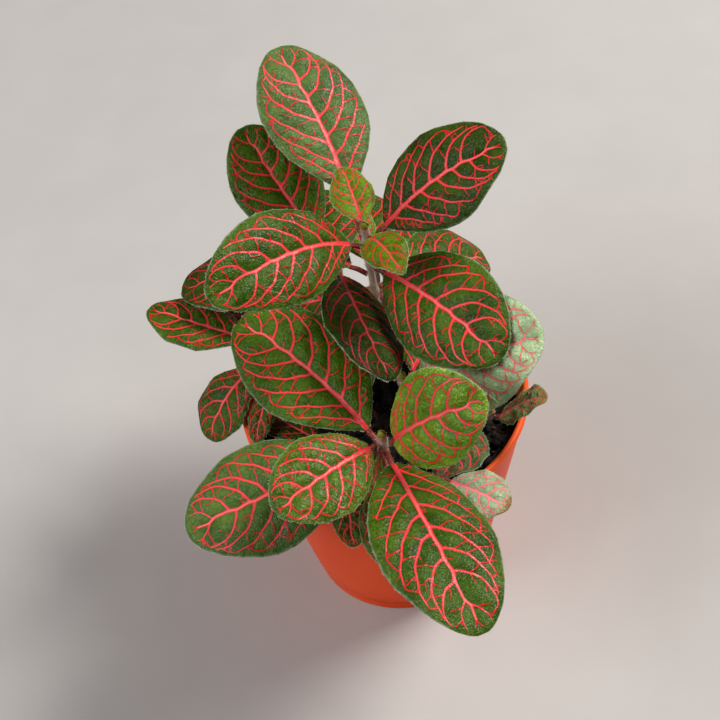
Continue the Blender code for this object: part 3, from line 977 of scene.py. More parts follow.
    def branch(
        self, host: Vein, share: float, side: int, turns: tuple[float, float], reach: float
    ) -> Array:
        """The way a branch takes from a vein.

        Args:
            host: The vein that it leaves.
            share: Where it leaves, as a share of the host's points.
            side: The side of the midrib that the host is on.
            turns: Its angle off the host at its start and at its end, outward, in degrees.
            reach: Its length, in mm.

        Returns:
            The path.
        """
        ahead = host.at(min(1.0, share + 0.06)) - host.at(max(0.0, share - 0.06))
        count = max(5, int(reach / 0.55))
        turn = np.radians(np.linspace(turns[0], turns[1], count))
        angle = math.atan2(ahead[1], ahead[0]) + side * turn
        steps = np.stack([np.cos(angle), np.sin(angle)], -1) * reach / count
        return host.at(share) + np.vstack([np.zeros(2), np.cumsum(steps, axis=0)])

    def grow_rungs(self, sides: list[Vein], side: int) -> None:
        """Branches from the outer side of each side vein, many of which join the one below.

        Args:
            sides: The side veins of one side, from the base up.
            side: The side of the midrib.
        """
        half = self.link_half * self.thin
        for upper in sides[1:]:
            span = np.linalg.norm(upper.points[-1] - upper.points[0])
            count = max(2, round(span / (4.8 * self.thin**0.5)))
            for k in range(count):
                share = (k + 0.7 + self.rng.uniform(-0.25, 0.25)) / (count + 0.3)
                if self.rng.random() < 0.25 + 0.7 * share:
                    turns = (self.rng.uniform(40, 60), self.rng.uniform(60, 95))
                    self.add_thin(self.branch(upper, share, side, turns, 14 * self.thin), half, True)
                    continue
                turns = (self.rng.uniform(50, 75), self.rng.uniform(5, 40))
                reach = self.rng.uniform(2.2, 5.5) * self.thin
                self.fork(self.add_thin(self.branch(upper, share, side, turns, reach), half, False))

    def grow_outward(self, lowest: Vein, side: int) -> None:
        """Loops and branches from the lowest side vein towards the margin.

        Args:
            lowest: The side vein nearest to the base.
            side: The side of the midrib.
        """
        half = self.link_half * self.thin
        outward = side * left_normals(lowest.points)
        depth = self.rng.uniform(0.1, 0.14) * self.leaf.width
        for first, last in ((0.3, 0.62), (0.62, 0.97)):
            low, high = (int(share * (len(lowest.points) - 1)) for share in (first, last))
            if high - low < 4 or self.rng.random() < 0.25:
                continue
            part = slice(low, high + 1)
            swell = np.sin(np.pi * np.linspace(0, 1, high - low + 1)[:, None]) ** 0.6
            self.add_thin(lowest.points[part] + outward[part] * depth * swell, half, True)
        for share in np.linspace(0.12, 0.92, 6):
            place = share + self.rng.uniform(-0.05, 0.05)
            turns = (self.rng.uniform(45, 70), self.rng.uniform(10, 50))
            reach = self.leaf.width * self.rng.uniform(0.08, 0.2)
            self.fork(self.add_thin(self.branch(lowest, place, side, turns, reach), half, False))

    def grow_tip(self) -> None:
        """Splits the midrib's end in two or three branches that spread towards the margin."""
        half = 1.15 * self.link_half * self.thin
        for turn in (-1, 1):
            turns = (self.rng.uniform(18, 32), self.rng.uniform(35, 60))
            reach = 0.075 * self.leaf.length
            self.add_thin(self.branch(self.veins[0], 1.0, turn, turns, reach), half, True)

    def grow_spurs(self, flanks: dict[int, list[Vein]]) -> None:
        """Short free veins on the inner side of the side veins and along the midrib.

        Args:
            flanks: The side veins of each side.
        """
        half = 0.85 * self.link_half * self.thin
        for side, sides in flanks.items():
            for vein in sides[:-1]:
                for share in (0.22, 0.42, 0.6):
                    if self.rng.random() < 0.5:
                        continue
                    place = share + self.rng.uniform(-0.07, 0.07)
                    turns = (-self.rng.uniform(50, 80), -self.rng.uniform(15, 60))
                    reach = self.rng.uniform(1.5, 3.6) * self.thin
                    self.add_thin(self.branch(vein, place, side, turns, reach), half, False)
        middle = self.veins[0]
        for share in np.linspace(0.12, 0.8, 7):
            way = 1 if self.rng.random() < 0.5 else -1
            begin = middle.at(share + self.rng.uniform(-0.04, 0.04))
            end = begin + self.thin * np.array([0.9, way * self.rng.uniform(1.4, 2.0)])
            self.add_thin(self.bow(begin, end, 0.1), half, False)

    def grow_dots(self) -> None:
        """A few lone dots, where a vein shows only in part."""
        x = self.rng.uniform(0.15, 0.85, 9) * self.leaf.length
        y = self.rng.uniform(-0.75, 0.75, 9) * self.half_width(x)
        places = np.stack([x, y], -1)
        gap, _ = self.nearest(places)
        for place in places[gap > 1.3 * self.thin][:5]:
            end = place + self.thin * self.rng.uniform(-0.5, 0.5, 2)
            halves = 0.62 * self.link_half * self.thin * np.array([1.0, 1.0, 0.7])
            self.veins.append(Vein(np.linspace(place, end, 3), halves, Rank.LINK))

    def segments(self, ranks: tuple[Rank, ...]) -> tuple[Array, Array, Array, Array, Array]:
        """Every straight piece of the veins of some ranks.

        Args:
            ranks: Which veins to take.

        Returns:
            Starts, ends, half-widths at the starts and at the ends, and ranks.
        """
        chosen = [vein for vein in self.veins if vein.rank in ranks]
        starts = np.vstack([vein.points[:-1] for vein in chosen])
        ends = np.vstack([vein.points[1:] for vein in chosen])
        first = np.concatenate([vein.halves[:-1] for vein in chosen])
        last = np.concatenate([vein.halves[1:] for vein in chosen])
        rank = np.concatenate([[v.rank.value] * (len(v.points) - 1) for v in chosen])
        return starts, ends, first, last, rank

    def measure(self, flat: Array, ranks: tuple[Rank, ...]) -> tuple[Array, Array, Array]:
        """Distances from flat points to the nearest veins.

        Args:
            flat: Points on the flat blade, in mm.
            ranks: Which veins count.

        Returns:
            The distance in half-widths, the distance in mm, and the nearest vein's rank.
        """
        starts, ends, first, last, rank = self.segments(ranks)
        run = ends - starts
        square = np.maximum((run**2).sum(-1), 1e-9)
        found = []
        for part in np.array_split(flat, max(1, len(flat) // 700)):
            away = part[:, None, :] - starts
            t = np.clip((away * run).sum(-1) / square, 0, 1)
            gap = np.linalg.norm(away - t[..., None] * run, axis=-1)
            ratio = gap / (first + (last - first) * t)
            nearest = ratio.argmin(1)
            every = np.arange(len(part))
            found.append((ratio[every, nearest], gap.min(1), rank[nearest]))
        return tuple(np.concatenate(column) for column in zip(*found))


# ==== Leaves: meshes ====


@dataclass
class Blade:
    """The fine mesh of one leaf: a blade cut along its veins, and its petiole with the keel."""

    leaf: Leaf
    stem: Stem
    seed: int
    grid: float = 1.35
    outline_step: float = 0.75
    thickness: float = 0.46
    margin_thickness: float = 0.26
    edge_bulge: float = 0.14
    vein_crown: float = 0.09
    vein_groove: float = 0.17
    cushion_width: float = 0.85
    under_ridge: float = 0.22
    pillow_width: float = 1.9
    pillow_height: float = 0.8
    keel_share: float = 0.8
    tube_sides: int = 12
    rooted: float = 0.35

    def __post_init__(self) -> None:
        """Grows the veins."""
        self.rng = np.random.default_rng(self.seed + 1000)
        self.root = self.leaf.root(self.stem)
        self.net = VeinNet(self.leaf, self.seed)

    @property
    def name(self) -> str:
        """The piece's name, beside its node's."""
        return "blade_" + self.leaf.name

    def outline(self) -> Array:
        """The blade's edge in the flat, from base along one margin, round the tip and back.

        Returns:
            The edge's points.
        """
        leaf = self.leaf
        perimeter = 2.3 * leaf.length
        count = int(perimeter / 2 / self.outline_step)
        turn = np.linspace(0, np.pi, count)
        share = FIRST_SHARE + (LAST_SHARE - FIRST_SHARE) * (1 - np.cos(turn)) / 2
        halves = []
        for side in (-1, 1):
            phases = self.rng.uniform(0, 2 * np.pi, 3)
            counts = self.rng.uniform((9, 17, 29), (12, 22, 37))
            waves = np.sin(2 * np.pi * share[:, None] * counts + phases)
            ragged = 1 + (waves * (0.02, 0.013, 0.007)).sum(1)
            if leaf.notch and side < 0:
                ragged -= NOTCH_DEPTH * np.exp(-(((share - leaf.notch) / NOTCH_WIDTH) ** 2))
            y = side * leaf.half_width(share) * ragged
            halves.append(np.stack([share * leaf.length, y], -1))
        return np.vstack([halves[0], halves[1][::-1]])

    def loose_points(self, edge: Array) -> Array:
        """Points of an even grid over the blade, clear of its veins and its edge.

        Args:
            edge: The blade's outline.

        Returns:
            The points.
        """
        leaf = self.leaf
        step = self.grid * (0.75 + 0.25 * leaf.size)
        xs = np.arange(0, leaf.length, step * 0.87)
        ys = np.arange(-leaf.width / 2, leaf.width / 2, step)
        x, y = np.meshgrid(xs, ys, indexing="ij")
        y[1::2] += step / 2
        flat = np.stack([x.ravel(), y.ravel()], -1)
        flat += self.rng.uniform(-0.12, 0.12, flat.shape) * step
        width = leaf.half_width(flat[:, 0] / leaf.length)
        flat = flat[np.abs(flat[:, 1]) < width - 0.35 * step]
        gaps = np.linalg.norm(flat[:, None] - edge[None], axis=-1).min(1)
        flat = flat[gaps > 0.5 * step]
        ratio, gap, _ = self.net.measure(flat, tuple(Rank))
        return flat[(ratio > 1.25) & (gap > 0.3 * step)]

    def flat_mesh(self) -> tuple[Array, Array]:
        """Triangles of the flat blade, with edges along both sides of each vein and its middle.

        Returns:
            The flat points (mm) and the triangles, counter-clockwise.
        """
        edge = self.outline()
        points = [edge]
        count = len(edge)
        lines = [(k, (k + 1) % count) for k in range(count)]
        for vein in self.net.veins:
            normal = left_normals(vein.points)
            for way in (-1, 0, 1):
                line = self.net.inside(vein.points + way * normal * vein.halves[:, None], 0.955)
                points.append(line)
                lines += [(count + k, count + k + 1) for k in range(len(line) - 1)]
                count += len(line)
        points.append(self.loose_points(edge))
        flat = np.vstack(points)
        made = delaunay_2d_cdt([Vector(p) for p in flat], lines, [], 1, 1e-4, False)
        places = np.array([tuple(p) for p in made[0]])
        faces = np.array([tuple(face) for face in made[2]])
        a, b, c = (places[faces[:, k]] for k in range(3))
        area = (b[:, 0] - a[:, 0]) * (c[:, 1] - a[:, 1]) - (b[:, 1] - a[:, 1]) * (c[:, 0] - a[:, 0])
        faces = np.where(area[:, None] > 0, faces, faces[:, ::-1])
        return places, faces[np.abs(area) > 1e-7]

    def relief(self, flat: Array, out: Array) -> tuple[Array, Array, Array, Array]:
        """How far the upper and the lower skin stand off the smooth form, in mm.

        Args:
            flat: Points on the flat blade.
            out: Each point's share of the way from midrib to margin.

        Returns:
            The upper relief, the lower relief, the distance in half-widths and the rank.
        """
        ratio, gap, rank = self.net.measure(flat, tuple(Rank))
        _, far, _ = self.net.measure(flat, (Rank.MIDRIB, Rank.SIDE))
        size = self.leaf.size
        puffed = 1 - np.exp(-((far / (self.pillow_width * size)) ** 2))
        pillow = self.pillow_height * size * puffed * 4 * out * (1 - out)
        depth = self.vein_groove * size**0.5 * AGE_RELIEF[self.leaf.age]
        cushion = depth * (1 - np.exp(-((gap / self.cushion_width) ** 2)))
        edge_fade = np.clip((1 - out) / 0.08, 0, 1)
        crown = self.vein_crown * np.clip(1 - ratio**2, 0, 1) * np.where(rank == Rank.MIDRIB.value, 1.6, 1.0)
        upper = pillow + (cushion + crown) * edge_fade
        ridge = self.under_ridge * size**0.5 * np.exp(-((gap / 0.5) ** 2))
        ridge *= np.where(rank < Rank.LINK.value, 1, 0.5)
        return upper, pillow - ridge * edge_fade, ratio, rank

    def skins(self) -> tuple[Array, Array, dict[str, Array]]:
        """The blade as one closed skin: upper side, lower side, and a rounded edge between.

        Returns:
            The points (mm), the triangles, and the marks that the finish reads, by name.
        """
        leaf = self.leaf
        flat, faces = self.flat_mesh()
        lift, out = leaf.lift(flat)
        upper, lower, ratio, rank = self.relief(flat, out)
        distance = leaf.petiole + flat[:, 0]
        side, normal = leaf.axes(distance)
        base = leaf.midrib(self.root, distance) + side * flat[:, 1:2]
        inner = np.clip((1 - out) / 0.25, 0, 1) ** 0.7
        thick = self.margin_thickness + (self.thickness - self.margin_thickness) * inner
        top = base + normal * (lift + upper)[:, None]
        bottom = base + normal * (lift + lower - thick)[:, None]
        rim_edges = self.rim(faces)
        rim = rim_edges[:, 0]
        after = dict(rim_edges.tolist())
        before = {b: a for a, b in rim_edges.tolist()}
        ahead = np.array([after[k] for k in rim])
        behind = np.array([before[k] for k in rim])
        tangent = unit(flat[ahead] - flat[behind])
        outward = np.stack([tangent[:, 1], -tangent[:, 0]], -1)
        forward = leaf.heading(distance[rim])
        push = forward * outward[:, :1] + side[rim] * outward[:, 1:]
        middle = (top[rim] + bottom[rim]) / 2 + self.edge_bulge * push
        count = len(flat)
        number = {int(k): 2 * count + i for i, k in enumerate(rim)}
        shell = [faces, faces[:, ::-1] + count]
        strip = []
        for a, b in rim_edges.tolist():
            c, d = number[a], number[b]
            strip += [(b, a, c), (b, c, d), (d, c, a + count), (d, a + count, b + count)]
        shell.append(np.array(strip))
        self.edge_points, self.edge_push, self.edge_normal = middle, push, normal[rim]
        ends = flat[rim]
        marks = {
            "vein_reach": np.concatenate([ratio, ratio, np.full(len(rim), EDGE_REACH)]),
            "vein_rank": np.concatenate([rank, rank, np.full(len(rim), Rank.LINK.value)]),
            "along": np.concatenate([flat[:, 0], flat[:, 0], ends[:, 0]]) / leaf.length,
            "out": np.concatenate([out, out, np.full(len(rim), EDGE_OUT)]),
            "under": np.concatenate([np.zeros(count), np.ones(count), np.full(len(rim), 0.5)]),
        }
        return np.vstack([top, bottom, middle]), np.vstack(shell), marks

    @staticmethod
    def rim(faces: Array) -> Array:
        """The directed edges that only one triangle has, as pairs of point numbers.

        Args:
            faces: The flat blade's triangles.

        Returns:
            The edges, with the blade on their left.
        """
        edges = np.vstack([faces[:, [0, 1]], faces[:, [1, 2]], faces[:, [2, 0]]])
        code = edges[:, 0].astype(np.int64) * (faces.max() + 1) + edges[:, 1]
        back = edges[:, 1].astype(np.int64) * (faces.max() + 1) + edges[:, 0]
        return edges[~np.isin(code, back)]

    def tube(self) -> tuple[Array, Array, dict[str, Array]]:
        """The petiole, which runs on under the blade as a tapering keel.

        Returns:
            The points (mm), the triangles, and the marks that the finish reads, by name.
        """
        leaf = self.leaf
        end = leaf.petiole + self.keel_share * leaf.length
        distance = np.linspace(-self.rooted, end, max(14, int(end / 1.2)))
        share = np.clip((distance - leaf.petiole) / leaf.length, 0, 1)
        start = max(0.0, leaf.petiole - 3.0)
        sunk = np.clip((distance - start) / (leaf.petiole - start + 1.5), 0, 1)
        sunk = sunk * sunk * (3 - 2 * sunk)
        radius = PETIOLE_RADIUS * (0.72 + 0.28 * leaf.size**0.5) * (1 - 0.15 * sunk)
        radius = radius * (1 - 0.82 * share / self.keel_share)
        lift, _ = leaf.lift(np.stack([np.clip(distance - leaf.petiole, 0, None), 0 * share], -1))
        drop = sunk * (lift - self.thickness * 0.35 - 0.8 * radius)
        side, normal = leaf.axes(distance)
        centre = leaf.midrib(self.root, distance) + normal * drop[:, None]
        centre[0] = centre[1] - 0.7 * leaf.heading(np.zeros(1))[0]
        turn = round_turns(self.tube_sides)
        flatten = 1 - 0.18 * np.maximum(0, np.sin(turn))
        ring = np.cos(turn)[:, None, None] * side + (flatten * np.sin(turn))[:, None, None] * normal
        points = centre + ring * radius[:, None]
        rings = len(distance)
        points = points.transpose(1, 0, 2).reshape(-1, 3)
        faces = []
        for a, b, c, d in band_faces(rings, self.tube_sides):
            faces += [(a, c, b), (a, d, c)]
        faces += [(0, k + 1, k) for k in range(1, self.tube_sides - 1)]
        last = (rings - 1) * self.tube_sides
        faces += [(last, last + k, last + k + 1) for k in range(1, self.tube_sides - 1)]
        total = len(points)
        self.stalk_centre = centre[distance < leaf.petiole]
        self.stalk_radius = radius[distance < leaf.petiole]
        marks = {
            "vein_reach": np.tile(1 - np.maximum(0, np.sin(turn)), rings),
            "vein_rank": np.full(total, Rank.PETIOLE.value),
            "along": np.repeat(share, self.tube_sides),
            "out": np.zeros(total),
            "under": np.tile((1 - np.sin(turn)) / 2, rings),
        }
        return points, np.array(faces), marks

    def build(self, material: Material) -> None:
        """Joins blade and petiole in one object and dresses it.

        Args:
            material: The leaf's finish.
        """
        skin, skin_faces, skin_marks = self.skins()
        tube, tube_faces, tube_marks = self.tube()
        faces = np.vstack([skin_faces, tube_faces + len(skin)])
        obj = new_mesh_object(self.name, np.vstack([skin, tube]), faces)
        for mark in skin_marks:
            write_attribute(obj, mark, np.concatenate([skin_marks[mark], tube_marks[mark]]))
        seat(obj, material, self.leaf.age.value, "leaf_" + self.leaf.name)


# ==== Leaf finishes ====


@dataclass(frozen=True)
class LeafFinish:
    """The colours and the feel of a leaf. Colours are linear RGB."""

    name: str
    deep: Colour
    bright: Colour
    rim: Colour
    under: Colour
    vein: Colour = (0.88, 0.028, 0.04)
    vein_highlight: Colour = (0.96, 0.17, 0.17)
    vein_thin: Colour = (0.65, 0.015, 0.024)
    base: Colour = (0.2, 0.34, 0.02)
    painted_sheen: Colour = (0.16, 0.24, 0.02)
    painted_sheen_share: float = 0.55
    speck: Colour = (0.4, 0.46, 0.3)
    seam: Colour = (0.16, 0.022, 0.012)
    vein_under: Colour = (0.5, 0.2, 0.14)
    dry: Colour = (0.26, 0.15, 0.045)
    stalk: Colour = (0.2, 0.022, 0.018)
    stalk_under: Colour = (0.36, 0.17, 0.11)
    stalk_streaks: Colour = (0.33, 0.09, 0.06)
    roughness: float = 0.36
    gloss: float = 0.19
    base_reach: float = 0.0
    dry_tip: float = 0.0

    def material(self, effects: Effects) -> Material:
        """Builds the finish as a material.

        Args:
            effects: The shared node groups.

        Returns:
            The material.
        """
        material, w, shader = new_material(self.name)
        rank = w.attribute("vein_rank")
        mottle = w.group(effects.mottle, {"Coarse": 130.0, "Fine": 950.0, "Fine Share": 0.4})["Value"]
        skin = w.group(effects.papillae, {})
        band = w.group(effects.vein_band, {"Reach": w.attribute("vein_reach")})
        shown = w.times(band["Band"], w.ramp(w.attribute("out"), 0.85, 0.97, 1.0, 0.6))
        green = self.green(w, mottle, skin)
        dimmed = w.times(shown, self.below(w, 1.0, 0.7))
        colour = w.mix(dimmed, green, self.red(w, rank, band["Core"]))
        colour = self.pale_rim_and_dry_tip(w, colour, mottle)

        turned_down = w.ramp(w.attribute("under"), 0.3, 0.8)
        stalk = w.mix(turned_down, self.stalk, self.stalk_under)
        stalk = w.mix(w.times(mottle, 0.5), stalk, self.stalk_streaks)
        bare = w.times(w.ramp(rank, 2.4, 3.0), w.ramp(w.attribute("along"), 0.0, 0.1, 1.0, 0.6))
        rough = w.math("MULTIPLY_ADD", mottle, 0.12, self.roughness - 0.06)
        height = w.times(skin["Height"], w.ramp(shown, 0.0, 1.0, 1.0, 0.35))
        height = w.math("MULTIPLY_ADD", w.noise(w.place(), 420.0, 2.0), 2.0, height)
        values = {
            "Base Color": w.mix(bare, colour, stalk),
            "Roughness": w.math("SUBTRACT", rough, w.times(shown, 0.06)),
            "Normal": w.bump(height, 0.8, 0.00028),
            "Specular IOR Level": self.gloss,
        }
        w.dress(shader, values)
        return material

    @staticmethod
    def below(w: Wiring, above: float = 0.0, under: float = 1.0) -> Socket:
        """A mask that tells the blade's upper side from its lower one."""
        return w.ramp(w.attribute("under"), 0.6, 0.9, above, under)

    def green(self, w: Wiring, mottle: Socket, skin: dict[str, Socket]) -> Socket:
        """The blade between its veins: mottled, with a painted sheen of glints on the puffed-up parts
        between the veins, and specked.

        Args:
            w: The material's wiring.
            mottle: The soft patches.
            skin: What the papillae give.

        Returns:
            The colour.
        """
        reach = w.attribute("vein_reach")
        green = w.mix(mottle, self.deep, self.bright)
        if self.base_reach:
            near_base = w.ramp(w.attribute("along"), 0.0, self.base_reach, 1.0, 0.0)
            green = w.mix(near_base, green, self.base)
        green = w.mix(w.ramp(reach, 1.0, 2.4, 0.4, 0.0), green, self.deep)
        # Painted sheen: grainy glints mixed into the green, strongest on the puffed-up parts away from the
        # veins.
        patches = w.ramp(w.noise(w.place(), 95.0, 2.0), 0.42, 0.66, 0.3, 1.0)
        patches = w.times(patches, w.ramp(reach, 1.2, 5.0, 0.35, 1.0))
        glint = w.times(patches, w.ramp(skin["Glint"], 0.0, 1.0, 0.12, 1.0))
        green = w.mix(w.times(glint, self.painted_sheen_share), green, self.painted_sheen)
        green = w.mix(w.times(skin["Speck"], 0.34), green, self.speck)
        return w.mix(self.below(w), green, self.under)

    def red(self, w: Wiring, rank: Socket, core: Socket) -> Socket:
        """The veins, with a painted highlight along their middles that is strongest on the midrib, and a
        dark seam near the midrib's base.

        Args:
            w: The material's wiring.
            rank: The rank of the nearest vein.
            core: How near its middle a point is.

        Returns:
            The colour.
        """
        along = w.attribute("along")
        is_midrib = w.ramp(rank, 0.0, 1.0, 1.0, 0.0)
        # Painted highlight: the middle of each vein is lightened towards a pale pink, most on the midrib and
        # least near the base.
        light = w.times(core, w.ramp(is_midrib, 0.0, 1.0, 0.3, 1.0))
        light = w.times(light, w.ramp(along, 0.0, 0.2, 0.25, 1.0))
        vein = w.mix(light, self.vein, self.vein_highlight)
        vein = w.mix(w.ramp(rank, 1.0, 2.0), vein, self.vein_thin)
        seam = w.ramp(w.attribute("vein_reach"), 0.02, 0.34, 0.6, 0.0)
        seam = w.times(seam, w.ramp(along, 0.08, 0.42, 1.0, 0.0))
        vein = w.mix(w.times(seam, is_midrib), vein, self.seam)
        return w.mix(self.below(w), vein, self.vein_under)

    def pale_rim_and_dry_tip(self, w: Wiring, colour: Socket, mottle: Socket) -> Socket:
        """Adds the pale rim, partly the down on the margin and partly a painted sheen along the edge, and,
        where the leaf has one, the dry tip.

        Args:
            w: The material's wiring.
            colour: The blade's colour so far.
            mottle: The soft patches.

        Returns:
            The colour.
        """
        # The margin's pale rim: partly its down, partly a painted sheen along the edge.
        uneven = w.ramp(w.noise(w.place(), 700.0, 1.0), 0.35, 0.65, 0.35, 1.0)
        rim = w.times(w.ramp(w.attribute("out"), 0.98, 1.03, 0.0, 1.0), uneven)
        colour = w.mix(rim, colour, self.rim)
        if not self.dry_tip:
            return colour
        reach = w.math("MULTIPLY_ADD", mottle, 0.12, w.attribute("along"))
        dry = w.ramp(reach, 1.0 - self.dry_tip, 1.08 - 0.7 * self.dry_tip)
        return w.mix(dry, colour, self.dry)


def leaf_finishes() -> dict[Age, LeafFinish]:
    """The finish of each age of leaf.

    Returns:
        The finishes by age.
    """
    return {
        Age.MATURE: LeafFinish(
            "leaf_dark_green",
            deep=(0.017, 0.052, 0.001),
            bright=(0.06, 0.125, 0.004),
            rim=(0.42, 0.46, 0.33),
            under=(0.19, 0.26, 0.1),
        ),
        Age.FRESH: LeafFinish(
            "leaf_fresh_green",
            deep=(0.038, 0.11, 0.001),
            bright=(0.11, 0.23, 0.006),
            rim=(0.45, 0.5, 0.33),
            under=(0.24, 0.33, 0.11),
            painted_sheen=(0.4, 0.54, 0.065),
            painted_sheen_share=0.8,
            roughness=0.35,
            gloss=0.25,
            base_reach=0.22,
        ),
        Age.YOUNG: LeafFinish(
            "leaf_lime_green",
            deep=(0.055, 0.15, 0.001),
            bright=(0.15, 0.3, 0.005),
            base=(0.23, 0.38, 0.02),
            vein=(0.7, 0.028, 0.034),
            vein_highlight=(0.82, 0.13, 0.11),
            vein_thin=(0.54, 0.02, 0.025),
            rim=(0.5, 0.54, 0.36),
            under=(0.29, 0.4, 0.12),
            painted_sheen=(0.34, 0.48, 0.035),
            gloss=0.15,
            base_reach=0.3,
        ),
    }


def toned(first: Colour, second: Colour, share: float, tone: float) -> Colour:
    """A colour part of the way from one to another, times a tone of painted light or shade, and 1 at the
    most.
    """
    return tuple(min(1.0, tone * (a + (b - a) * share)) for a, b in zip(first, second))


def light_shade_and_dry_tip_finish(leaf: Leaf, finish: LeafFinish) -> LeafFinish:
    """A leaf's finish with painted light and shade: darker for a leaf that stood in shade, lighter for one
    that stood in light, paler for a painted sheen, or dry at the tip.

    Args:
        leaf: The leaf.
        finish: The finish of its age.

    Returns:
        The leaf's own finish, or the age's where the leaf has nothing of its own.
    """
    if leaf.tone == leaf.painted_vein_light_shade == 1.0 and not (leaf.pale or leaf.dry_tip):
        return finish
    grey, ash, rose = (0.33, 0.42, 0.27), (0.45, 0.52, 0.36), (0.9, 0.32, 0.33)
    # What each colour turns to on the palest leaf, by which share, and its tone: painted sheen, light and
    # shade.
    turns = {
        "deep": (grey, 0.45, leaf.tone),
        "bright": (grey, 0.62, leaf.tone),
        "base": (grey, 0.3, leaf.tone),
        "painted_sheen": (ash, 1.0, leaf.tone),
        "vein": (rose, 0.5, leaf.painted_vein_light_shade),
        "vein_highlight": (rose, 0.6, leaf.painted_vein_light_shade),
        "vein_thin": (rose, 0.4, leaf.painted_vein_light_shade),
    }
    own = {
        key: toned(getattr(finish, key), end, share * leaf.pale, tone)
        for key, (end, share, tone) in turns.items()
    }
    return replace(
        finish,
        name="leaf_" + leaf.name,
        painted_sheen_share=finish.painted_sheen_share + 0.25 * leaf.pale,
        # Painted shade also takes gloss off a leaf whose veins are toned down.
        gloss=finish.gloss * min(1.0, leaf.painted_vein_light_shade),
        dry_tip=leaf.dry_tip,
        **own,
    )


# ==== Hairs on the margins and the stems ====


@dataclass
class Fuzz:
    """Fine hairs as tapered needles, gathered from many roots into one piece."""

    name: str
    seed: int
    radius: float = 0.022
    bend: float = 0.036
    tip_bend: float = 0.09

    def __post_init__(self) -> None:
        """Starts with no hairs."""
        self.rng = np.random.default_rng(self.seed)
        self.roots: list[Array] = []
        self.ways: list[Array] = []

    def grow(self, roots: Array, ways: Array, shortest: float, longest: float, stray: float) -> None:
        """Adds one hair at each root.

        Args:
            roots: Where the hairs start, in mm.
            ways: Unit vectors along which they stand.
            shortest: The least length, in mm.
            longest: The greatest length, in mm.
            stray: How far they lean off their ways.
        """
        lean = self.rng.normal(0, stray, ways.shape)
        reach = self.rng.uniform(shortest, longest, (len(roots), 1))
        self.roots.append(roots)
        self.ways.append(unit(ways + lean) * reach)

    def build(self, material: Material) -> None:
        """Makes the piece: three-sided needles, bent a little.

        Args:
            material: The hairs' finish.
        """
        roots, ways = np.vstack(self.roots), np.vstack(self.ways)
        away = unit(np.cross(ways, self.rng.normal(0, 1, ways.shape)))
        across = unit(np.cross(ways, away))
        rings = []
        for share, width in ((-0.1, 1.0), (0.55, 0.7)):
            middle = roots + ways * share + away * self.bend * max(share, 0)
            for turn in round_turns(3):
                side = np.cos(turn) * away + np.sin(turn) * across
                rings.append(middle + self.radius * width * side)
        tips = roots + ways + away * self.tip_bend
        points = np.stack([*rings, tips], 1).reshape(-1, 3)
        pattern = [(0, 2, 1)]
        for k in range(3):
            after = (k + 1) % 3
            pattern += [(k, after, after + 3), (k, after + 3, k + 3), (k + 3, after + 3, 6)]
        start = 7 * np.arange(len(roots))[:, None, None]
        faces = (np.array(pattern)[None] + start).reshape(-1, 3)
        seat(new_mesh_object(self.name, points, faces), material, "stem")


def hair_material(effects: Effects) -> Material:
    """Whitish hairs with a silky sheen.

    Args:
        effects: The shared node groups.

    Returns:
        The material.
    """
    material, w, shader = new_material("white_hairs")
    grain = w.group(effects.grain, {"Scale": 300.0})
    tint = w.mix(grain["Value"], (0.62, 0.66, 0.5), (0.8, 0.76, 0.68))
    w.dress(shader, {"Base Color": tint, "Roughness": 0.5, "Sheen Weight": 0.3})
    return material


# ==== Stems ====


@dataclass
class Bud:
    """The bud at a stem's top: two pairs of tiny cupped leaflets, pressed together."""

    stem: Stem
    seed: int
    length: float = 2.6
    width: float = 2.5
    spread: float = -9.0
    leaflets: int = 4
    inner_size: float = 0.72
    foot_offset: float = 0.6
    bulge: float = 0.45
    thickness: float = 0.3
    cup: float = 0.35
    around: int = 12
    rise: int = 9

    def leaflet(self, heading: float, size: float) -> Array:
        """The points of one leaflet, ring by ring from its foot.

        Args:
            heading: The way it faces, in radians.
            size: Its size against an outer leaflet's.

        Returns:
            The points, in mm.
        """
        turn = round_turns(self.around)
        share = np.linspace(0, 1, self.rise)
        outward = np.array([np.cos(heading), np.sin(heading), 0.0])
        level = np.array([-np.sin(heading), np.cos(heading), 0.0])
        lean = math.radians(self.spread * size)
        rising = math.sin(lean) * outward + np.array([0, 0, math.cos(lean)])
        wide = size * self.width / 2 * np.sin(np.pi * (0.12 + 0.88 * share)) ** 0.7
        bulge = self.bulge * size * np.sin(np.pi * share)
        foot = self.stem.axis(self.stem.top[2] - 0.3) + self.foot_offset * size * outward
        middle = foot + rising * (size * self.length * share)[:, None] + outward * bulge[:, None]
        flat = np.cos(turn)[None, :, None] * wide[:, None, None] * level
        cupped = np.sin(turn) * self.thickness - self.cup * np.cos(turn) ** 2
        flat = flat + (cupped[None, :] * wide[:, None])[..., None] * outward
        return (middle[:, None] + flat).reshape(-1, 3)

    def build(self, material: Material) -> None:
        """Makes the leaflets, the inner pair smaller and turned across the outer one.

        Args:
            material: The leaflets' finish.
        """
        first = np.random.default_rng(self.seed).uniform(0, 2 * np.pi)
        points, faces = [], []
        for number in range(self.leaflets):
            inner = number >= 2
            heading = first + np.pi * number + (np.pi / 2 if inner else 0)
            points.append(self.leaflet(heading, self.inner_size if inner else 1.0))
            faces += capped_faces(self.rise, self.around, number * self.rise * self.around)
        bud = new_mesh_object("bud_" + self.stem.name, np.vstack(points), faces)
        seat(bud, material, Age.YOUNG.value)


def bud_material(effects: Effects) -> Material:
    """Yellow-green, downy leaflets.

    Args:
        effects: The shared node groups.

    Returns:
        The material.
    """
    material, w, shader = new_material("bud_yellow_green")
    mottle = w.group(effects.mottle, {"Coarse": 500.0, "Fine": 1800.0})["Value"]
    values = {
        "Base Color": w.mix(mottle, (0.16, 0.13, 0.012), (0.28, 0.32, 0.03)),
        "Roughness": w.ramp(mottle, 0.0, 1.0, 0.48, 0.62),
        "Specular IOR Level": 0.25,
    }
    w.dress(shader, values)
    return material


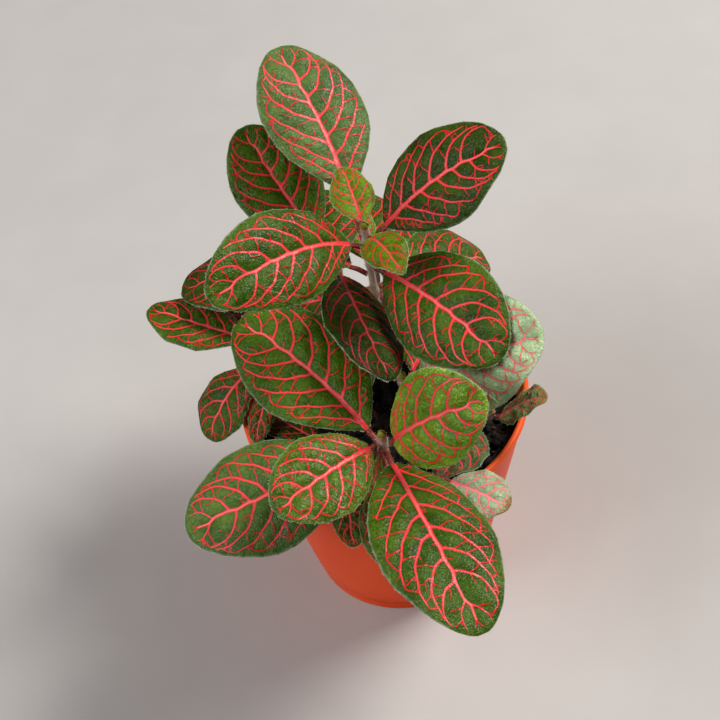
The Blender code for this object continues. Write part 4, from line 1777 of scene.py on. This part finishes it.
@dataclass
class Stalk:
    """One fine stem: a soft ribbed tube, swollen at its nodes and rounded at its top."""

    stem: Stem
    seed: int
    sides: int = 18
    ring_step: float = 0.8
    depth: float = 6.0
    node_reach: float = 1.5
    node_swell: float = 0.45
    tallest: float = 131.0
    slimming: float = 0.2
    foot_flare: float = 0.25
    foot_reach: float = 2.0
    ribs: int = 4
    rib_depth: float = 0.05
    tip_rings: int = 5
    fresh_length: float = 2.5
    hairs: float = 3.2

    def __post_init__(self) -> None:
        """Finds the leaves that the stem carries."""
        self.rng = np.random.default_rng(self.seed)
        self.nodes = [leaf.node for leaf in LEAVES if leaf.stem == self.stem.name]

    def radius(self, height: Array) -> Array:
        """The stem's radius at heights, in mm.

        Args:
            height: The heights.

        Returns:
            The radii.
        """
        swell = np.zeros_like(height)
        for node in self.nodes:
            swell = np.maximum(swell, np.exp(-(((height - node) / self.node_reach) ** 2)))
        rise = height - SOIL_LEVEL
        slim = 1 - self.slimming * np.clip(rise / (self.tallest - SOIL_LEVEL), 0, 1)
        foot = self.foot_flare * np.exp(-((rise / self.foot_reach) ** 2))
        return STEM_RADIUS * slim + self.node_swell * swell + foot

    def build(self, material: Material, fuzz: Fuzz) -> None:
        """Makes the stem and grows its hairs into the fuzz.

        Args:
            material: The stem's finish.
            fuzz: The piece that gathers the hairs.
        """
        top = self.stem.top[2]
        levels = np.linspace(SOIL_LEVEL - self.depth, top, int((top - SOIL_LEVEL) / self.ring_step) + 6)
        radii = self.radius(levels)
        turn = round_turns(self.sides)
        cap = np.linspace(0, np.pi / 2, self.tip_rings + 1)[1:-1]
        heights = np.concatenate([levels, top + 0.8 * radii[-1] * np.sin(cap)])
        radii = np.concatenate([radii, radii[-1] * np.cos(cap)])
        centres = np.stack([self.stem.axis(height) for height in heights])
        lobes = 1 + self.rib_depth * np.sin(self.ribs * turn[None] + self.rng.uniform(0, 6))
        ring = np.stack([np.cos(turn), np.sin(turn), 0 * turn], -1)
        points = centres[:, None] + ring[None] * (radii[:, None] * lobes)[..., None]
        points = points.reshape(-1, 3)
        faces = capped_faces(len(heights), self.sides)
        obj = new_mesh_object("stalk_" + self.stem.name, points, faces)
        fresh = 1 + (points[:, 2] - top) / self.fresh_length
        write_attribute(obj, "fresh", np.clip(fresh, 0, 1))
        self.grow_hairs(fuzz)
        seat(obj, material, "stem", "stem_" + self.stem.name)

    def grow_hairs(self, fuzz: Fuzz) -> None:
        """Spreads short hairs over the stem above the soil.

        Args:
            fuzz: The piece that gathers the hairs.
        """
        span = self.stem.top[2] - SOIL_LEVEL
        count = int(span * 2 * np.pi * STEM_RADIUS * self.hairs)
        height = self.rng.uniform(SOIL_LEVEL + 0.5, self.stem.top[2], count)
        turn = self.rng.uniform(0, 2 * np.pi, count)
        ways = np.stack([np.cos(turn), np.sin(turn), 0 * turn + 0.25], -1)
        axis = np.stack([self.stem.axis(h) for h in height])
        roots = axis + ways * [1, 1, 0] * self.radius(height)[:, None]
        fuzz.grow(roots, unit(ways), shortest=0.3, longest=0.8, stray=0.25)


def stem_material(effects: Effects) -> Material:
    """Pale pinkish stems, whiter towards the top and brownish at the soil.

    Args:
        effects: The shared node groups.

    Returns:
        The material.
    """
    material, w, shader = new_material("stem_pale_pink")
    grain = w.group(effects.grain, {"Scale": 900.0})
    height = w.add("ShaderNodeSeparateXYZ", {"Vector": w.place()}).outputs["Z"]
    flesh = w.mix(grain["Value"], (0.5, 0.3, 0.24), (0.66, 0.48, 0.38))
    flesh = w.mix(w.ramp(height, 0.09, 0.13, 0.0, 0.8), flesh, (0.72, 0.62, 0.52))
    flesh = w.mix(w.ramp(height, 0.068, 0.074, 0.75, 0.0), flesh, (0.2, 0.1, 0.06))
    flesh = w.mix(w.ramp(w.attribute("fresh"), 0.0, 1.0, 0.0, 0.65), flesh, (0.3, 0.1, 0.05))
    values = {
        "Base Color": flesh,
        "Roughness": w.ramp(grain["Value"], 0.0, 1.0, 0.5, 0.68),
        "Normal": w.bump(grain["Height"], 0.5, 0.0002),
        "Subsurface Weight": 0.15,
        "Subsurface Radius": (0.6, 0.3, 0.2),
        "Subsurface Scale": 0.0015,
    }
    w.dress(shader, values)
    return material


# ==== Pot ====


@dataclass
class Pot:
    """The thin plastic nursery pot, turned round Z. Sizes in mm."""

    height: float = 78.0
    rim_radius: float = 42.5
    foot_radius: float = 28.2
    foot_height: float = 5.0
    foot_step: float = 1.1
    edge_break: float = 0.8
    wall: float = 1.2
    base: float = 1.6
    lip_step: float = 0.6
    lip_depth: float = 2.2
    drain_ring: float = 17.5
    drain_radius: float = 3.2
    drains: int = 6
    segments: int = 192
    arc_steps: int = 8
    sharp_from: float = 38.0

    def arc(
        self, centre: tuple[float, float], radius: float, start: float, end: float
    ) -> list[tuple[float, float]]:
        """Points along a round edge, as (radius, height), from one angle to another in degrees."""
        turns = np.radians(np.linspace(start, end, self.arc_steps))
        return [(centre[0] + radius * np.cos(a), centre[1] + radius * np.sin(a)) for a in turns]

    def inner_radius(self, height: float) -> float:
        """The inner radius at a height above the foot.

        Args:
            height: The height.

        Returns:
            The radius.
        """
        low, high = self.foot_height + self.foot_step, self.height - self.lip_depth
        narrow = self.foot_radius + self.foot_step - self.wall
        wide = self.rim_radius - self.lip_step - self.wall
        return narrow + (wide - narrow) * (height - low) / (high - low)

    def section(self) -> list[tuple[float, float]]:
        """The pot's section from the inner floor over the lip to the underside.

        Returns:
            Points as (radius, height).
        """
        bead = (self.lip_step + self.wall) / 2
        shoulder = self.foot_height + self.foot_step
        neck = self.height - self.lip_depth
        inner = self.foot_radius - self.wall
        walls = np.linspace(0.04, 0.96, 14)
        inner_wall = [(self.inner_radius(h), h) for h in shoulder + (neck - shoulder) * walls]
        slope = (self.rim_radius - self.lip_step - self.foot_radius - self.foot_step) / (neck - shoulder)
        outer_wall = [
            (self.foot_radius + self.foot_step + slope * (h - shoulder), h)
            for h in shoulder + (neck - shoulder) * walls[::-1]
        ]
        return [
            (0.0, self.base),
            *self.arc((inner - self.edge_break, self.base + self.edge_break), self.edge_break, -90, 0),
            (inner, self.foot_height - 0.3),
            (inner + self.foot_step, shoulder + 0.3),
            *inner_wall,
            *self.arc((self.rim_radius - bead, self.height - bead), bead, 180, 0),
            *self.arc((self.rim_radius - 0.3, neck + 0.3), 0.3, 0, -90),
            (self.rim_radius - self.lip_step, neck - 0.25),
            *outer_wall,
            (self.foot_radius + self.foot_step, shoulder),
            (self.foot_radius + 0.25, self.foot_height),
            (self.foot_radius, self.foot_height - 0.3),
            *self.arc((self.foot_radius - self.edge_break, self.edge_break), self.edge_break, 0, -90),
            (0.0, 0.0),
        ]

    def build(self, material: Material) -> None:
        """Turns the section, cuts the drain holes and dresses the pot.

        Args:
            material: The plastic.
        """
        turn = round_turns(self.segments)
        section = np.array(self.section()[1:-1])
        rings = section[:, 0, None] * np.stack([np.cos(turn), np.sin(turn)])[:, None]
        z = np.repeat(section[:, 1, None], self.segments, 1)
        points = np.stack([rings[0], rings[1], z], -1).reshape(-1, 3)
        points = np.vstack([points, [(0, 0, self.base), (0, 0, 0)]])
        faces = [face[::-1] for face in turned_faces(len(section), self.segments)]
        pot = new_mesh_object("pot_shell", points, faces)
        self.cut_drains(pot)
        pot.data.set_sharp_from_angle(angle=math.radians(self.sharp_from))
        seat(pot, material, "pot", "pot")

    def cut_drains(self, pot: Piece) -> None:
        """Takes the ring of drain holes out of the base.

        Args:
            pot: The pot's piece.
        """
        shapes = bmesh.new()
        for k in range(self.drains):
            turn = 2 * math.pi * (k + 0.5) / self.drains
            place = Vector((math.cos(turn), math.sin(turn), 0.0)) * self.drain_ring * MM
            bmesh.ops.create_cone(
                shapes,
                cap_ends=True,
                segments=40,
                radius1=self.drain_radius * MM,
                radius2=self.drain_radius * MM,
                depth=6 * self.base * MM,
                matrix=Matrix.Translation(place),
            )
        mesh = bpy.data.meshes.new("drain_cutter")
        shapes.to_mesh(mesh)
        shapes.free()
        cutter = bpy.data.objects.new("drain_cutter", mesh)
        bpy.context.scene.collection.objects.link(cutter)
        boolean = pot.modifiers.new("drains", "BOOLEAN")
        boolean.object = cutter
        boolean.operation = "DIFFERENCE"
        graph = bpy.context.evaluated_depsgraph_get()
        cut = bpy.data.meshes.new_from_object(pot.evaluated_get(graph))
        pot.modifiers.clear()
        pot.data = cut
        bpy.data.objects.remove(cutter)


@dataclass(frozen=True)
class PlasticFinish:
    """The pot's plastic: satin and a little see-through, with painted light and shade, and darker brown in
    patches on the inner wall.

    wall_start and wall_slope give the radius of the middle of the pot's wall, in metres: its
    value at the ground and how much it grows with each metre of height.
    """

    name: str = "pot_terracotta_plastic"
    # A shaded and a lit copy of the plastic's colour, for painted light and shade.
    shade: Colour = (0.96, 0.068, 0.006)
    light: Colour = (0.98, 0.15, 0.022)
    inner_wall_brown: Colour = (0.12, 0.06, 0.035)
    roughness: float = 0.38
    wall_start: float = 0.0274
    wall_slope: float = 0.1847

    def material(self, effects: Effects) -> Material:
        """Builds the finish as a material.

        Args:
            effects: The shared node groups.

        Returns:
            The material.
        """
        material, w, shader = new_material(self.name)
        axes = w.add("ShaderNodeSeparateXYZ", {"Vector": w.place()}).outputs
        mottle = w.group(effects.mottle, {"Coarse": 45.0, "Fine": 320.0})["Value"]
        grain = w.group(effects.grain, {"Scale": 1500.0})
        # Painted light and shade: the colour wavers between the shaded and the lit copy, and the band at the
        # lip is lightened towards the lit copy.
        colour = w.mix(w.times(mottle, 0.5), self.shade, self.light)
        colour = w.mix(w.ramp(axes["Z"], 0.0745, 0.0772, 0.0, 0.45), colour, self.light)
        # Darker brown in patches on the inner wall, most near the soil, and rougher there.
        square = w.math("ADD", w.math("POWER", axes["X"], 2.0), w.math("POWER", axes["Y"], 2.0))
        wall = w.math("MULTIPLY_ADD", axes["Z"], self.wall_slope, self.wall_start)
        inside = w.ramp(w.math("SUBTRACT", wall, w.math("SQRT", square)), -0.0004, 0.0006)
        low = w.ramp(axes["Z"], 0.066, 0.074, 1.0, 0.25)
        patchy = w.ramp(grain["Value"], 0.2, 0.8, 0.35, 0.9)
        inner_wall_darkening = w.times(w.times(inside, low), patchy)
        rough = w.math("MULTIPLY_ADD", mottle, 0.1, self.roughness)
        values = {
            "Base Color": w.mix(inner_wall_darkening, colour, self.inner_wall_brown),
            "Roughness": w.math("ADD", rough, w.times(inner_wall_darkening, 0.3)),
            "Normal": w.bump(grain["Height"], 0.12, 0.0001),
            "Specular IOR Level": 0.16,
            "Subsurface Weight": 0.08,
            "Subsurface Radius": (1.0, 0.2, 0.04),
            "Subsurface Scale": 0.002,
        }
        w.dress(shader, values)
        return material


# ==== Soil ====


@dataclass
class Soil:
    """Peat in the pot: a lumpy bed, crumbs of several sizes, and a few bits of bark."""

    pot: Pot
    seed: int = 4
    level: float = 68.0
    edge_drop: float = 1.0
    gap: float = 0.3
    grid: float = 0.75
    sides: int = 300
    swells: int = 14
    swell_height: float = 0.2
    ripples: int = 28
    ripple_height: float = 0.085
    crumbs: int = 620
    chips: int = 46

    def __post_init__(self) -> None:
        """Draws the long and the short waves that the bed's lumps are made of."""
        self.rng = np.random.default_rng(self.seed)
        waves = self.swells + self.ripples
        self.heading = self.rng.uniform(0, 2 * np.pi, waves)
        lengths = [self.rng.uniform(6, 16, self.swells), self.rng.uniform(1.6, 5, self.ripples)]
        self.length = np.concatenate(lengths)
        self.phase = self.rng.uniform(0, 2 * np.pi, waves)
        self.weight = np.repeat([self.swell_height, self.ripple_height], [self.swells, self.ripples])

    def top(self, x: Array, y: Array) -> Array:
        """The height of the bed at places, in mm.

        Args:
            x: The places' x.
            y: The places' y.

        Returns:
            The heights.
        """
        along = x[..., None] * np.cos(self.heading) + y[..., None] * np.sin(self.heading)
        waves = np.sin(along * 2 * np.pi / self.length + self.phase)
        lumps = (waves * self.weight).sum(-1)
        rim = self.pot.inner_radius(self.level)
        edge = np.clip((np.hypot(x, y) / rim - 0.85) / 0.15, 0, 1)
        return self.level + lumps + 0.25 * np.abs(lumps) - self.edge_drop * edge**2

    def build_bed(self, material: Material) -> None:
        """The closed plug of soil.

        Args:
            material: The peat.
        """
        pot = self.pot
        rim = pot.inner_radius(self.level) - self.gap
        rings = int(rim / self.grid)
        turn = round_turns(self.sides)
        floor = pot.base + self.gap
        foot = pot.foot_radius - pot.wall - self.gap
        shoulder = pot.foot_height + pot.foot_step + self.gap
        section = [(foot - 0.8, floor), (foot, floor + 0.8), (foot, pot.foot_height)]
        section += [(pot.inner_radius(h) - self.gap, h) for h in np.linspace(shoulder, self.level - 2.0, 6)]
        radii = np.array([r for r, _ in section] + list(rim * (1 - np.arange(rings) / rings)))
        heights = np.array([h for _, h in section])
        x, y = np.outer(radii, np.cos(turn)), np.outer(radii, np.sin(turn))
        z = np.empty_like(x)
        z[: len(section)] = heights[:, None]
        z[len(section) :] = self.top(x[len(section) :], y[len(section) :])
        points = np.stack([x, y, z], -1).reshape(-1, 3)
        middle = float(self.top(np.zeros(1), np.zeros(1))[0])
        points = np.vstack([points, [(0, 0, floor), (0, 0, middle)]])
        bed = new_mesh_object("soil_bed", points, turned_faces(len(radii), self.sides))
        seat(bed, material, "soil", "soil")

    def scatter(
        self, name: str, count: int, stretch: tuple[float, float, float], sizes: tuple[float, float]
    ) -> Piece:
        """Lumps laid over the bed, in one object.

        Args:
            name: The object's name.
            count: How many.
            stretch: How long, wide and high each is against its size.
            sizes: The least and the greatest radius, in mm.

        Returns:
            The new object.
        """
        ball = bmesh.new()
        bmesh.ops.create_icosphere(ball, subdivisions=2, radius=1.0)
        shape = np.array([v.co[:] for v in ball.verts])
        corners = np.array([[v.index for v in f.verts] for f in ball.faces])
        ball.free()
        rim = self.pot.inner_radius(self.level) - 1.2
        points, faces = [], []
        for k in range(count):
            size = sizes[0] + (sizes[1] - sizes[0]) * self.rng.random() ** 2.5
            away = rim * math.sqrt(self.rng.random())
            turn = self.rng.uniform(0, 2 * np.pi)
            x, y = away * math.cos(turn), away * math.sin(turn)
            axis = unit(self.rng.normal(0, 1, 3) * (0.35, 0.35, 1))
            spin = Matrix.Rotation(self.rng.uniform(0, 6.3), 3, Vector(axis))
            dents = self.rng.normal(0, 1, (5, 3))
            rough = 1 + 0.13 * np.sin(shape @ dents.T * 2.2 + self.rng.uniform(0, 6, 5)).sum(1)
            lump = shape * rough[:, None] * stretch * size
            lump = lump @ np.array(spin).T
            height = float(self.top(np.array([x]), np.array([y]))[0]) + 0.25 * size * stretch[2]
            points.append(lump + (x, y, height))
            faces.append(corners + k * len(shape))
        return new_mesh_object(name, np.vstack(points), np.vstack(faces))

    def build_crumbs(self, material: Material) -> None:
        """The loose crumbs of peat on the bed."""
        crumbs = self.scatter("soil_crumbs", self.crumbs, (1.0, 0.85, 0.75), (0.35, 1.9))
        seat(crumbs, material, "soil")

    def build_chips(self, material: Material) -> None:
        """The reddish bits of bark and fibre."""
        chips = self.scatter("bark_chips", self.chips, (2.3, 0.7, 0.45), (0.4, 1.1))
        seat(chips, material, "soil")


@dataclass(frozen=True)
class EarthFinish:
    """Peat or bark: two tones, a grain, and how rough it is."""

    name: str
    dark: Colour
    light: Colour
    scale: float = 800.0
    roughness: float = 0.9

    def material(self, effects: Effects) -> Material:
        """Builds the finish as a material.

        Args:
            effects: The shared node groups.

        Returns:
            The material.
        """
        material, w, shader = new_material(self.name)
        grain = w.group(effects.grain, {"Scale": self.scale})
        mottle = w.group(effects.mottle, {"Coarse": 260.0, "Fine": 1400.0})
        tone = w.times(grain["Value"], mottle["Value"])
        values = {
            "Base Color": w.mix(tone, self.dark, self.light),
            "Roughness": w.ramp(tone, 0.0, 1.0, self.roughness, 0.7 * self.roughness),
            "Normal": w.bump(grain["Height"], 0.9, 0.0005),
            "Specular IOR Level": 0.25,
        }
        w.dress(shader, values)
        return material


# ==== Studio ====


@dataclass
class Lamp:
    """One soft area lamp: where it hangs (m), how wide it is (m), its power and its colour."""

    name: str
    place: tuple[float, float, float]
    width: float
    power: float
    colour: Colour = (1.0, 1.0, 1.0)

    def build(self, target: Vector) -> None:
        """Hangs the lamp, turned to a target.

        Args:
            target: The point that it lights.
        """
        data = bpy.data.lights.new(self.name, "AREA")
        data.shape = "DISK"
        data.size = self.width
        data.energy = self.power
        data.color = self.colour
        lamp = bpy.data.objects.new(self.name, data)
        lamp.location = self.place
        lamp.rotation_euler = (target - lamp.location).to_track_quat("-Z", "Y").to_euler()
        bpy.context.scene.collection.objects.link(lamp)


@dataclass
class Studio:
    """The floor, the light and the camera."""

    floor_size: float = 6000.0
    floor_colour: Colour = (0.52, 0.5, 0.48)
    sky: float = 0.12
    elevation: float = 50.3
    tilt: float = -7.7
    distance: float = 450.0
    shift: tuple[float, float] = (-7.0, 9.0)
    lens: float = 76.39
    sensor: float = 36.0

    def build_floor(self, effects: Effects) -> None:
        """A plain pale floor.

        Args:
            effects: The shared node groups.
        """
        half = self.floor_size / 2
        corners = [(-half, -half, 0), (half, -half, 0), (half, half, 0), (-half, half, 0)]
        floor = new_mesh_object("floor", np.array(corners, float), [(0, 1, 2, 3)])
        material, w, shader = new_material("pale_floor")
        mottle = w.group(effects.mottle, {"Coarse": 4.0, "Fine": 40.0})["Value"]
        darker = tuple(0.94 * value for value in self.floor_colour)
        tint = w.mix(mottle, darker, self.floor_colour)
        w.dress(shader, {"Base Color": tint, "Roughness": 0.85})
        floor.data.materials.append(material)

    def build_light(self) -> None:
        """A large key from the right and behind, a weaker fill from the left, and a pale sky."""
        target = Vector((0.0, 0.0, 0.09))
        Lamp("key", (0.72, 0.28, 1.06), 0.55, 17.0, (1.0, 0.97, 0.93)).build(target)
        Lamp("fill", (-0.9, -0.33, 0.9), 0.8, 9.0, (0.97, 0.98, 1.0)).build(target)
        world = bpy.data.worlds.new("studio_sky")
        world.use_nodes = True
        background = world.node_tree.nodes["Background"]
        background.inputs["Color"].default_value = (1.0, 1.0, 1.0, 1.0)
        background.inputs["Strength"].default_value = self.sky
        bpy.context.scene.world = world
        bpy.context.scene.view_settings.view_transform = "Standard"

    def build_camera(self, rim_height: float) -> None:
        """The camera, aimed at the pot's rim from above the front.

        Args:
            rim_height: The height of the point that the camera is aimed by, in mm.
        """
        up, lean = math.radians(self.elevation), math.radians(self.tilt)
        back = Vector((0.0, -math.cos(up), math.sin(up)))
        level, rise = Vector((1, 0, 0)), Vector((0, math.sin(up), math.cos(up)))
        right = math.cos(lean) * level + math.sin(lean) * rise
        above = -math.sin(lean) * level + math.cos(lean) * rise
        place = back * self.distance + right * self.shift[0] + above * self.shift[1]
        place += Vector((0, 0, rim_height))
        data = bpy.data.cameras.new("camera")
        data.lens = self.lens
        data.sensor_width = self.sensor
        data.clip_start = 0.01
        camera = bpy.data.objects.new("camera", data)
        turned = Matrix((right, above, back)).transposed().to_4x4()
        camera.matrix_world = Matrix.Translation(place * MM) @ turned
        bpy.context.scene.collection.objects.link(camera)
        bpy.context.scene.camera = camera


# ==== The plant ====


@dataclass
class Plant:
    """All the leaves and stems."""

    effects: Effects
    leaf_seed: int = 11
    stalk_seed: int = 300
    bud_seed: int = 400
    hair_seed: int = 500
    margin_hairs: float = 5.4
    petiole_hairs: int = 14

    def build(self) -> None:
        """Builds each stem with its leaves, and the hairs on both."""
        stalks = stem_material(self.effects)
        hairs = hair_material(self.effects)
        buds = bud_material(self.effects)
        finishes = leaf_finishes()
        shared = {age: finish.material(self.effects) for age, finish in finishes.items()}
        for number, stem in enumerate(STEMS):
            fuzz = Fuzz("hairs_" + stem.name, self.hair_seed + number)
            Stalk(stem, self.stalk_seed + number).build(stalks, fuzz)
            Bud(stem, self.bud_seed + number).build(buds)
            for place, leaf in enumerate(LEAVES):
                if leaf.stem != stem.name:
                    continue
                finish = light_shade_and_dry_tip_finish(leaf, finishes[leaf.age])
                own = finish is not finishes[leaf.age]
                material = finish.material(self.effects) if own else shared[leaf.age]
                blade = Blade(leaf, stem, self.leaf_seed + place)
                blade.build(material)
                self.fringe(blade, fuzz)
            fuzz.build(hairs)

    def fringe(self, blade: Blade, fuzz: Fuzz) -> None:
        """Grows hairs along a blade's margin and round its petiole.

        Args:
            blade: The leaf's mesh, already built.
            fuzz: The piece that gathers the hairs.
        """
        rng = fuzz.rng
        every = int(round(self.margin_hairs * blade.outline_step))
        for _ in range(every):
            jitter = rng.uniform(-0.5, 0.5, (len(blade.edge_points), 1)) * blade.outline_step
            along = unit(np.cross(blade.edge_push, blade.edge_normal))
            ways = unit(blade.edge_push + 0.35 * along * rng.normal(0, 1, jitter.shape))
            roots = blade.edge_points + along * jitter * 0.5
            fuzz.grow(roots, ways, shortest=0.22, longest=0.5, stray=0.22)
        if len(blade.stalk_centre) > 1:
            count = self.petiole_hairs * len(blade.stalk_centre)
            pick = rng.integers(0, len(blade.stalk_centre), count)
            centre = blade.stalk_centre[pick] + rng.normal(0, 0.25, (count, 3))
            ways = unit(rng.normal(0, 1, (count, 3)))
            roots = centre + ways * blade.stalk_radius[pick][:, None] * 0.8
            fuzz.grow(roots, ways, shortest=0.3, longest=0.7, stray=0.1)


def main() -> None:
    """Builds the pot, the soil, the plant and the studio, in that order."""
    logging.basicConfig(level=logging.INFO, format="%(name)s: %(message)s")
    effects = Effects()
    pot = Pot()
    pot.build(PlasticFinish().material(effects))
    soil = Soil(pot)
    peat = EarthFinish("black_peat", (0.004, 0.003, 0.002), (0.018, 0.012, 0.008)).material(effects)
    bark = EarthFinish("red_bark", (0.04, 0.012, 0.007), (0.12, 0.04, 0.02), 1200.0).material(effects)
    soil.build_bed(peat)
    soil.build_crumbs(peat)
    soil.build_chips(bark)
    Plant(effects).build()
    studio = Studio()
    studio.build_floor(effects)
    studio.build_light()
    studio.build_camera(pot.height)


if __name__ == "__main__":
    main()
